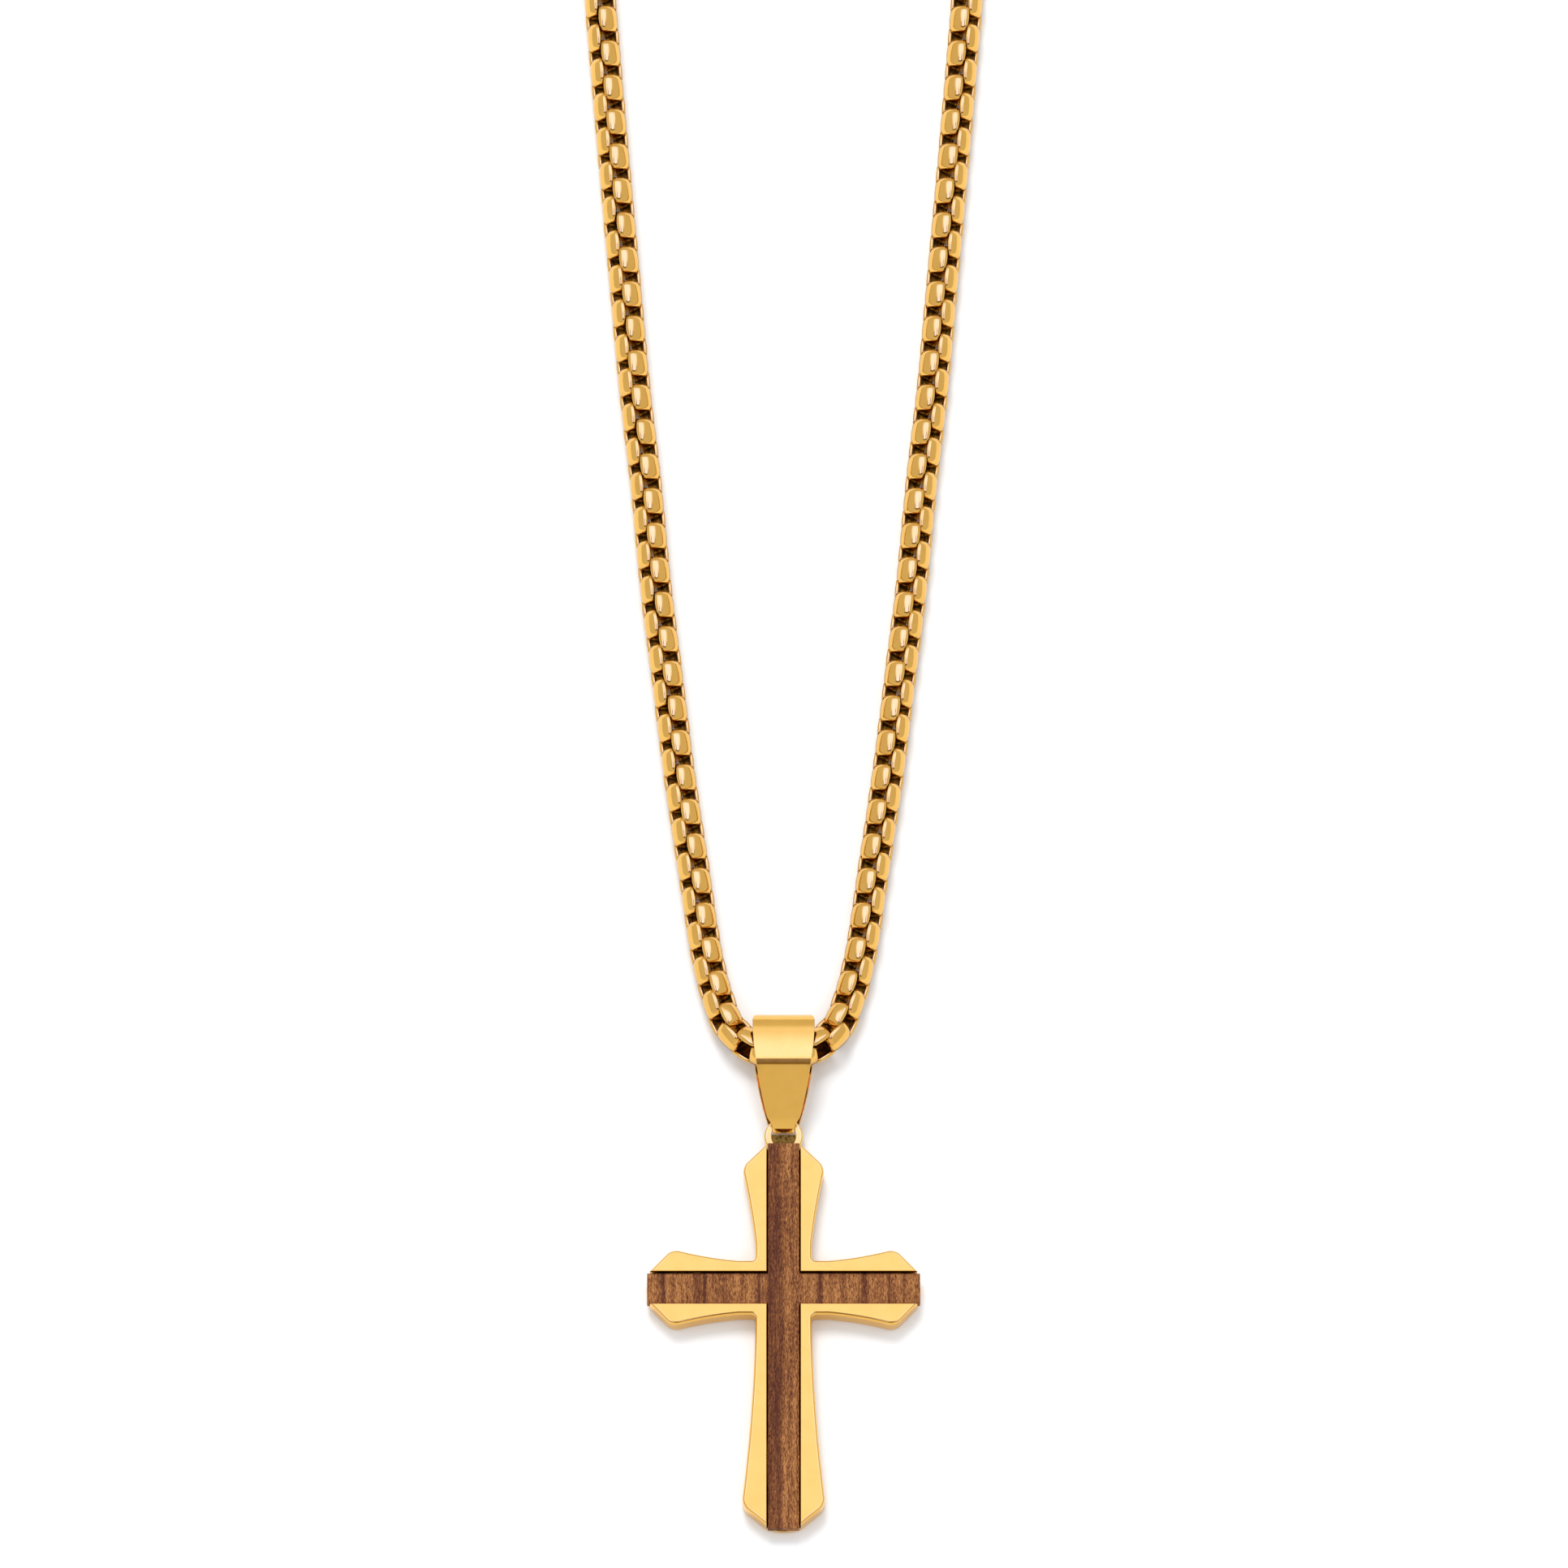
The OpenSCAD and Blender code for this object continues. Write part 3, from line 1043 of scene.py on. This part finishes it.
    @staticmethod
    def soften(made: bpy.types.Object) -> bpy.types.Object:
        """Round a link's cage to its tumbled shape.

        Args:
            made: the chain piece.

        Returns:
            The same piece.
        """
        soft = made.modifiers.new("tumbled", "SUBSURF")
        soft.levels = soft.render_levels = 1
        return made

    def end_link(self, side: Side, centre: Vector) -> bpy.types.Object:
        """Model the last link of a strand, with its window up.

        Args:
            side: the strand it ends.
            centre: its middle.

        Returns:
            The piece.
        """
        name = side.name.lower()
        bm = bmesh.new()
        self.template(bm)
        turn = Matrix.Rotation(math.radians(90.0), 4, "X")
        bmesh.ops.transform(bm, matrix=Matrix.Translation(centre) @ turn, verts=bm.verts)
        piece = Piece(f"end_link_{name}", CHAIN_GOLD, Slot.CHAIN, "chain",
                      (f"{name}_end_link",), sharp=180.0, weighted=False,
                      extras=(RECESS_SHADE_GOLD,))
        return self.soften(piece.publish(bm, outward=False))


def middle_of(node: str) -> Vector:
    """The middle of a CAD node's box, in millimetres."""
    low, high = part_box(node)
    return (low + high) / 2 / MM


@dataclass
class Clasp:
    """Lobster clasp with its two jump rings.

    Args:
        wire: thickness of the jump rings.
        rivet: radius of the rivet's shank.
        dome: how far its heads are domed.
        dome_steps: each ring of a dome: share of the shank that is left, share of the rise.
        spring_wire: thickness of the spring's wire.
        spring_radius: radius of its coil.
    """

    wire: float = 0.9
    rivet: float = 0.4
    dome: float = 0.16
    dome_steps: tuple[tuple[float, float], ...] = ((0.72, 0.6), (0.5, 0.3))
    spring_wire: float = 0.24
    spring_radius: float = 0.57

    def jump_ring(self, node: str) -> bpy.types.Object:
        """Model a jump ring.

        Args:
            node: the CAD node it stands for.

        Returns:
            The piece.
        """
        low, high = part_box(node)
        centre = middle_of(node)
        radius = (high - low).x / MM / 2 - self.wire / 2
        bm = bmesh.new()
        ring = bmesh.ops.create_circle(bm, segments=12, radius=self.wire / 2)["verts"]
        bmesh.ops.rotate(bm, verts=ring, cent=(0, 0, 0),
                         matrix=Matrix.Rotation(math.radians(90.0), 3, "X"))
        bmesh.ops.rotate(bm, verts=ring, cent=(0, 0, 0),
                         matrix=Matrix.Rotation(math.radians(90.0), 3, "Z"))
        bmesh.ops.translate(bm, verts=ring, vec=(0, 0, radius))
        bmesh.ops.spin(bm, geom=everything(bm), cent=(0, 0, 0), axis=(0, 1, 0),
                       angle=math.tau, steps=40, use_merge=True)
        bmesh.ops.translate(bm, verts=bm.verts, vec=centre)
        piece = Piece(f"{node}_wire", CLASP_GOLD, Slot.CHAIN, "chain", (node,), weighted=False)
        return piece.publish(bm)

    def rounded(self, node: str, body: str, edge: float) -> bpy.types.Object:
        """Give a CAD node's shape the soft edges of a cast piece.

        Args:
            node: the CAD node.
            body: the body it rides on.
            edge: width of the rounded edges.

        Returns:
            The piece.
        """
        bm = cad_copy(node)
        round_edges(bm, sharp_edges(bm, 40.0), edge, 2)
        piece = Piece(f"{node}_cast", CLASP_GOLD, Slot.CHAIN, body, (node,))
        return piece.publish(bm, outward=False)

    def rivet_pin(self) -> bpy.types.Object:
        """Model the rivet with its two domed heads.

        Returns:
            The piece.
        """
        low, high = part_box("clasp_rivet")
        centre = middle_of("clasp_rivet")
        half = (high - low).z / MM / 2
        bm = bmesh.new()
        ends = bmesh.ops.create_circle(bm, segments=24, radius=self.rivet)["verts"]
        bmesh.ops.translate(bm, verts=ends, vec=(0, 0, -half))
        rim = bmesh.ops.extrude_edge_only(bm, edges=bm.edges[:])["geom"]
        bmesh.ops.translate(bm, verts=verts_of(rim), vec=(0, 0, 2 * half))
        loops = [e for e in bm.edges if e.is_boundary]
        bmesh.ops.holes_fill(bm, edges=loops, sides=0)
        for face in [f for f in bm.faces if len(f.verts) > 4]:
            up = math.copysign(1.0, face.calc_center_median().z)
            for left, share in self.dome_steps:
                bmesh.ops.inset_region(bm, faces=[face], thickness=self.rivet * (1 - left) / 2)
                bmesh.ops.translate(bm, verts=face.verts,
                                    vec=(0, 0, up * self.dome * share / 2))
        bmesh.ops.translate(bm, verts=bm.verts, vec=centre)
        piece = Piece("rivet_pin", CLASP_GOLD, Slot.CHAIN, "clasp", ("clasp_rivet",))
        return piece.publish(bm)

    def spring(self) -> bpy.types.Object:
        """Model the torsion spring: a coil round the rivet and two legs.

        Returns:
            The piece.
        """
        low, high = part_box("clasp_spring")
        pivot = middle_of("clasp_rivet")
        pivot.z = (low.z + high.z) / 2 / MM
        leg = pivot.x - low.x / MM
        bm = bmesh.new()
        ring = bmesh.ops.create_circle(bm, segments=8, radius=self.spring_wire / 2 * 0.9)["verts"]
        bmesh.ops.rotate(bm, verts=ring, cent=(0, 0, 0),
                         matrix=Matrix.Rotation(math.radians(90.0), 3, "Y"))
        bmesh.ops.translate(bm, verts=ring, vec=(0, self.spring_radius, 0))
        start = bm.edges[:]
        made = bmesh.ops.spin(bm, geom=everything(bm), cent=(0, 0, 0), axis=(0, 0, 1),
                              angle=-math.pi, steps=16)["geom_last"]
        for edges in (start, edges_of(made)):
            out = bmesh.ops.extrude_edge_only(bm, edges=edges)["geom"]
            bmesh.ops.translate(bm, verts=verts_of(out), vec=(-leg, 0, 0))
        ends = [e for e in bm.edges if e.is_boundary]
        bmesh.ops.holes_fill(bm, edges=ends, sides=0)
        bmesh.ops.translate(bm, verts=bm.verts, vec=pivot)
        piece = Piece("spring_coil", DrawnWire("spring_wire"), Slot.SPRING, "clasp",
                      ("clasp_spring",), weighted=False)
        return piece.publish(bm)

    def build(self) -> dict[str, bpy.types.Object]:
        """Model the clasp and its rings.

        Returns:
            The pieces by the node that each replaces.
        """
        return {
            "catch_ring": self.jump_ring("catch_ring"),
            "clasp_ring": self.jump_ring("clasp_ring"),
            "clasp_body": self.rounded("clasp_body", "clasp", 0.12),
            "clasp_lever": self.rounded("clasp_lever", "lever", 0.1),
            "clasp_rivet": self.rivet_pin(),
            "clasp_spring": self.spring(),
        }


@dataclass
class Necklace:
    """The chain and the clasp together.

    Args:
        length: length of one strand, from inside the bail to its end, in metres; not used.
        diameter: outer diameter of the chain; not used.
        chain: the two strands.
        clasp: the clasp with its rings.
    """

    length: float = 0.2940
    diameter: float = 4.0
    chain: BoxChain = field(default_factory=BoxChain)
    clasp: Clasp = field(default_factory=Clasp)

    def build(self) -> None:
        strands = self.chain.build()
        ends = {side: self.chain.end_link(side, middle_of(f"{side.name.lower()}_end_link"))
                for side in Side}
        parts = self.clasp.build()
        for side in Side:
            path = self.chain.route.strand(side)


# ---------------------------------------------------------------------- the bail


@dataclass
class Bail:
    """Strap folded to a loop that hangs on the chain and hooks the lug.

    Args:
        strap: thickness of the strap.
        half_width: half its width where it is widest.
        nose: circle (Y, Z, radius) of the fold over the chain.
        bend: circle of the bend between roof and leg.
        tip: circle of the hook round the lug's bar.
        side_radius: radius of its tapered sides.
        widest: Y where it is widest.
        neck: radius of its rounded lower end.
        hook: half width inside the lug's window.
        hook_turn: degrees up and down the hook that it stays so narrow, for the swing.
        hook_flare: how much wider it gets with each degree beyond.
        crown: rise of the roof above a straight line.
        edge: width of the rounded long edges.
        shoulder: length of the rounded corners beside the fold.
        shoulder_cut: how much they take off the width.
        columns: number of faces across the strap.
    """

    strap: float = 0.65
    half_width: float = 3.83
    nose: Point = (31.72, 3.1, 3.1)
    bend: Point = (28.26, 5.15, 1.6)
    tip: Point = (21.65, 1.35, 1.35)
    side_radius: float = 42.0
    widest: float = 34.0
    neck: float = 2.75
    hook: float = 1.36
    hook_turn: float = 57.0
    hook_flare: float = 0.037
    crown: float = 0.08
    edge: float = 0.31
    shoulder: float = 1.5
    shoulder_cut: float = 0.9
    columns: int = 8

    @staticmethod
    def belt_angle(first: Point, second: Point) -> float:
        """Angle, from +Y towards +Z, of the normal of a belt that runs over two circles."""
        dy, dz = second[0] - first[0], second[1] - first[1]
        return math.atan2(dz, dy) + math.acos((first[2] - second[2]) / math.hypot(dy, dz))

    def half_at(self, y: float, z: float) -> float:
        """Half the strap's width at a place on its side view.

        Args:
            y: the place's Y.
            z: its Z.

        Returns:
            The half width.
        """
        half = self.half_width - self.side_radius
        half += math.sqrt(self.side_radius ** 2 - (y - self.widest) ** 2)
        over = y - (self.nose[0] + self.nose[2] - self.shoulder)
        if over > 0:
            half -= self.shoulder_cut * (1 - math.sqrt(max(1 - (over / self.shoulder) ** 2, 0)))
        neck_y = self.tip[0] - self.tip[2] + self.neck - 0.02
        if y < neck_y:
            half = min(half, math.sqrt(max(self.neck ** 2 - (y - neck_y) ** 2, 0.15)))
        turn = math.degrees(math.atan2(abs(z - self.tip[1]), self.tip[0] - y))
        if turn < 90.0:
            half = min(half, self.hook + max(turn - self.hook_turn, 0.0) * self.hook_flare)
        return half

    def wrap(self, bm: BMesh, row: list[BMEdge], centre: Point, start: float, end: float,
             steps: int) -> list[BMEdge]:
        """Bend the strap round one circle.

        Args:
            bm: the bmesh.
            row: the strap's last row of edges.
            centre: the circle.
            start: angle where the row is.
            end: angle where the bend stops.
            steps: number of steps.

        Returns:
            The new last row.
        """
        geom = list({v for e in row for v in e.verts}) + list(row)
        made = bmesh.ops.spin(bm, geom=geom, cent=(0.0, centre[0], centre[1]),
                              axis=(1.0, 0.0, 0.0), angle=end - start, steps=steps)
        return edges_of(made["geom_last"])

    def run(self, bm: BMesh, row: list[BMEdge], end: tuple[float, float], steps: int,
            crown: float = 0.0) -> list[BMEdge]:
        """Carry the strap on to a point of its side view.

        Args:
            bm: the bmesh.
            row: the strap's last row of edges.
            end: the point.
            steps: number of steps.
            crown: how far the stretch rises in its middle.

        Returns:
            The new last row.
        """
        first = row[0].verts[0].co.copy()
        way = Vector((0.0, end[0] - first.y, end[1] - first.z))
        out = Vector((0.0, -way.z, way.y)).normalized()
        risen = 0.0
        for k in range(1, steps + 1):
            part = k / steps
            rise = crown * 4 * part * (1 - part)
            made = bmesh.ops.extrude_edge_only(bm, edges=row)["geom"]
            bmesh.ops.translate(bm, verts=verts_of(made), vec=way / steps + out * (rise - risen))
            row, risen = edges_of(made), rise
        return row

    def build(self) -> bpy.types.Object:
        """Model the bail.

        Returns:
            The piece.
        """
        leg = self.belt_angle(self.tip, self.bend)
        roof = self.belt_angle(self.bend, self.nose)
        down = -math.pi / 2

        def on(circle: Point, angle: float) -> tuple[float, float]:
            """The point of a circle at an angle."""
            return (circle[0] + circle[2] * math.cos(angle),
                    circle[1] + circle[2] * math.sin(angle))

        bm = bmesh.new()
        start = on(self.nose, down)
        bmesh.ops.create_vert(bm, co=(-1.0, *start))
        row_vert = bm.verts[:]
        for _ in range(self.columns):
            made = bmesh.ops.extrude_vert_indiv(bm, verts=row_vert)
            bmesh.ops.translate(bm, verts=made["verts"], vec=(2.0 / self.columns, 0, 0))
            row_vert = made["verts"]
        row = bm.edges[:]
        row = self.run(bm, row, on(self.tip, down), 5)
        row = self.wrap(bm, row, self.tip, math.tau + down, leg, 14)
        row = self.run(bm, row, on(self.bend, leg), 8)
        row = self.wrap(bm, row, self.bend, leg, roof, 8)
        row = self.run(bm, row, on(self.nose, roof), 8, self.crown)
        self.wrap(bm, row, self.nose, roof, down, 28)
        bmesh.ops.remove_doubles(bm, verts=bm.verts, dist=0.01)
        for vert in bm.verts:
            vert.co.x *= self.half_at(vert.co.y, vert.co.z)
        bmesh.ops.recalc_face_normals(bm, faces=bm.faces)
        bmesh.ops.solidify(bm, geom=bm.faces[:], thickness=self.strap)
        bmesh.ops.recalc_face_normals(bm, faces=bm.faces)
        piece = Piece("bail_strap", BAIL_GOLD, Slot.PLATED, "bail", ("bail",), sharp=70.0,
                      weighted=False)
        made = piece.publish(bm)
        soft = made.modifiers.new("soft_edges", "BEVEL")
        soft.width, soft.segments = self.edge * MM, 4
        soft.limit_method, soft.angle_limit = "ANGLE", math.radians(55.0)
        even = made.modifiers.new("even_normals", "WEIGHTED_NORMAL")
        even.keep_sharp = True
        return made


# --------------------------------------------------------------------- the cross


@dataclass
class Arm:
    """Outline of one flared arm, all along the arm.

    Args:
        flank: where the straight part ends: distance, half width.
        corner: tip corner: distance, half width.
        cut: end of the chamfer: distance, half width.
        reach: distance of the bowed end.
        hollow: radius of the hollow flank.
    """

    flank: Flat
    corner: Flat
    cut: Flat
    reach: float
    hollow: float

    @staticmethod
    def above(point: Flat) -> Flat:
        """Where a point of the arm lies when the arm points up."""
        return point[1], point[0]

    @staticmethod
    def under(point: Flat) -> Flat:
        """The point's mirror image on the other flank."""
        return point[0], -point[1]

    @property
    def bow(self) -> float:
        """Radius of the bowed end."""
        rise = self.reach - self.cut[0]
        return (self.cut[1] ** 2 + rise ** 2) / 2 / rise


@dataclass
class Cross:
    """Flared metal cross with a wood inlay in its channel and a lug at the top.

    Args:
        thickness: thickness of the metal.
        waist: half width of every bar beside the crossing.
        fillet: radius between two arms.
        channel: half width of the channel.
        floor: thickness of metal under the channel.
        rim: width of the rounded outer edges.
        tip_cut: how far back from a tip corner its rounding starts.
        wood: half width of the wood bars.
        glue: thickness of the glue.
        wood_rise: thickness of the wood.
        wood_short: how far its bars end before the arms do.
        wood_edge: width of its rounded edges.
        glue_inset: how far the glue stays in from the wood's sides.
        glue_short: how far its bars end before the arms do.
        glue_edge: width of its rounded edges.
        lip: width of the rounded edges of the channel.
        top: the arm with the lug.
        foot: the long arm.
        side: both side arms.
    """

    thickness: float = 2.8
    waist: float = 3.45
    fillet: float = 0.5
    channel: float = 2.1
    floor: float = 1.05
    rim: float = 0.34
    tip_cut: float = 0.92
    wood: float = 1.925
    glue: float = 0.1
    wood_rise: float = 1.1
    wood_short: float = 0.05
    wood_edge: float = 0.07
    glue_inset: float = 0.1
    glue_short: float = 0.6
    glue_edge: float = 0.03
    lip: float = 0.05
    top: Arm = field(default_factory=lambda: Arm((5.5, 3.45), (15.5, 5.1), (18.4, 2.1),
                                                 18.75, 90.0))
    foot: Arm = field(default_factory=lambda: Arm((4.5, 3.45), (27.9, 5.15), (30.45, 2.1),
                                                  30.8, 220.0))
    side: Arm = field(default_factory=lambda: Arm((5.5, 3.45), (13.7, 4.95), (16.4, 2.1),
                                                  16.8, 45.0))

    def outline(self, bm: BMesh) -> BMFace:
        """Draw the right half of the outline, mirror it and fill it.

        Args:
            bm: the bmesh to draw in.

        Returns:
            The one face inside the outline.
        """
        top, foot, side = self.top, self.foot, self.side
        near = self.waist + self.fillet
        pen = Pen(bm, (0.0, top.reach))
        pen.curve(top.above(top.cut), top.bow, -1, 5).line(top.above(top.corner))
        pen.curve(top.above(top.flank), top.hollow, 1, 8)
        pen.line((self.waist, near)).curve((near, self.waist), self.fillet, 1, 5)
        pen.line(side.flank).curve(side.corner, side.hollow, 1, 8).line(side.cut)
        pen.curve(side.under(side.cut), side.bow, -1, 10).line(side.under(side.corner))
        pen.curve(side.under(side.flank), side.hollow, 1, 8)
        pen.line((near, -self.waist)).curve((self.waist, -near), self.fillet, 1, 5)
        pen.line((foot.flank[1], -foot.flank[0]))
        pen.curve((foot.corner[1], -foot.corner[0]), foot.hollow, 1, 12)
        pen.line((foot.cut[1], -foot.cut[0])).curve((0.0, -foot.reach), foot.bow, -1, 5)
        bmesh.ops.mirror(bm, geom=everything(bm), matrix=Matrix.Identity(4),
                         merge_dist=NEAR, axis="X")
        bmesh.ops.remove_doubles(bm, verts=bm.verts, dist=NEAR)
        tips = {(round(arm.corner[1], 2), round(arm.corner[0], 2)) for arm in (top, foot)}
        tips |= {(round(side.corner[0], 2), round(side.corner[1], 2))}
        corners = [v for v in bm.verts
                   if (round(abs(v.co.x), 2), round(abs(v.co.y), 2)) in tips]
        bmesh.ops.bevel(bm, geom=corners, offset=self.tip_cut, offset_type="OFFSET",
                        segments=5, profile=0.5, affect="VERTICES", clamp_overlap=True,
                        material=-1)
        return bmesh.ops.contextual_create(bm, geom=bm.edges[:])["faces"][0]

    def metal(self) -> bpy.types.Object:
        """Model the metal body with its open channel.

        Returns:
            The piece.
        """
        bm = bmesh.new()
        self.outline(bm)
        for axis in (0, 1):
            for sign in (-1.0, 1.0):
                normal = Vector((axis == 0, axis == 1, 0))
                bmesh.ops.bisect_plane(bm, geom=everything(bm), dist=NEAR,
                                       plane_co=normal * sign * self.channel,
                                       plane_no=normal)
        slab = extrude_faces(bm, bm.faces[:], (0, 0, self.floor))
        walls = [face for face in slab if self.is_raised(face)]
        extrude_faces(bm, walls, (0, 0, self.thickness - self.floor))
        join_flat(bm)
        outer = [e for e in bm.edges if self.is_outer_rim(e)]
        round_edges(bm, outer, self.rim, 3)
        inner = [e for e in bm.edges if self.is_channel_lip(e)]
        round_edges(bm, inner, self.lip, 1)
        piece = Piece("cross_metal", CROSS_GOLD, Slot.PLATED, "cross", ("cross_body",),
                      sharp=38.0)
        return piece.publish(bm)

    def is_raised(self, face: BMFace) -> bool:
        """Whether a face of the slab lies beside the channel."""
        middle = face.calc_center_bounds()
        return abs(middle.x) > self.channel and abs(middle.y) > self.channel

    def on_channel(self, edge: BMEdge) -> bool:
        """Whether an edge runs along the channel's side.

        Args:
            edge: the edge.

        Returns:
            Whether it does.
        """
        first, second = (v.co for v in edge.verts)
        return any(abs(abs(first[k]) - self.channel) < 0.01
                   and abs(first[k] - second[k]) < 0.01
                   for k in (0, 1)) and abs(first.z - second.z) < 0.01

    def is_outer_rim(self, edge: BMEdge) -> bool:
        """Whether an edge goes round the outline of the face or the back.

        Args:
            edge: the edge.

        Returns:
            Whether it does.
        """
        heights = [v.co.z for v in edge.verts]
        level = all(abs(z) < NEAR for z in heights) or all(
            abs(z - self.thickness) < NEAR for z in heights)
        return level and not self.on_channel(edge) and edge.calc_face_angle(0.0) > 1.0

    def is_channel_lip(self, edge: BMEdge) -> bool:
        """Whether an edge is a top edge of the channel."""
        top = all(abs(v.co.z - self.thickness) < NEAR for v in edge.verts)
        return top and self.on_channel(edge)

    def bars(self, half: float, low: float, high: float, short: float,
             edge: float) -> BMesh:
        """Model two crossing bars as one block.

        Args:
            half: half width of the bars.
            low: height of the underside.
            high: height of the top.
            short: how far the bars end before the arms do.
            edge: width of the rounded top edges.

        Returns:
            The bmesh.
        """
        bm = bmesh.new()
        bmesh.ops.create_grid(bm, x_segments=1, y_segments=1, size=half)
        ends = {(1, 0): self.side.reach, (-1, 0): self.side.reach,
                (0, 1): self.top.reach, (0, -1): self.foot.reach}
        for (x, y), reach in ends.items():
            middle = Vector((x, y, 0)) * half
            start = [e for e in bm.edges
                     if (sum((v.co for v in e.verts), Vector()) / 2 - middle).length < NEAR]
            made = bmesh.ops.extrude_edge_only(bm, edges=start)["geom"]
            bmesh.ops.translate(bm, verts=verts_of(made),
                                vec=Vector((x, y, 0)) * (reach - short - half))
        bmesh.ops.translate(bm, verts=bm.verts, vec=(0, 0, low))
        extrude_faces(bm, bm.faces[:], (0, 0, high - low))
        join_flat(bm)
        rims = [e for e in bm.edges if all(v.co.z > high - NEAR for v in e.verts)]
        round_edges(bm, rims, edge, 2)
        return bm

    def inlay(self) -> bpy.types.Object:
        """Model the wood inlay.

        Returns:
            The piece.
        """
        low = self.floor + self.glue
        bm = self.bars(self.wood, low, low + self.wood_rise, self.wood_short, self.wood_edge)
        piece = Piece("wood_cross", InlayWood("inlay_wood"), Slot.WOOD, "cross",
                      ("wood_inlay",))
        return piece.publish(bm)

    def glue_film(self) -> bpy.types.Object:
        """Model the glue under the wood.

        Returns:
            The piece.
        """
        bm = self.bars(self.wood - self.glue_inset, self.floor, self.floor + self.glue,
                       self.glue_short, self.glue_edge)
        piece = Piece("glue_film", SetGlue("set_glue"), Slot.GLUE, "cross", ("inlay_glue",))
        return piece.publish(bm)

    def lug(self) -> bpy.types.Object:
        """Model the lug ring from its CAD shape.

        Returns:
            The piece.
        """
        bm = cad_copy("lug_ring")
        low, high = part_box("lug_ring")
        middle = (low.z + high.z) / 2 / MM
        for face in bm.faces:
            if face.normal.z > 0.9 and face.calc_center_median().z < middle + 0.1:
                face.material_index = 1
        piece = Piece("lug_loop", LUG_GOLD, Slot.PLATED, "cross", ("lug_ring",), sharp=40.0,
                      extras=(LUG_SHADE,))
        return piece.publish(bm, outward=False)

    def build(self) -> None:
        """Model the whole pendant."""
        self.metal()
        self.inlay()
        self.glue_film()
        self.lug()


def main() -> None:
    """Build everything in order."""
    logging.basicConfig(level=logging.INFO, format="%(message)s")
    Studio().build()
    Necklace().build()
    Bail().build()
    Cross().build()


if __name__ == "__main__":
    main()
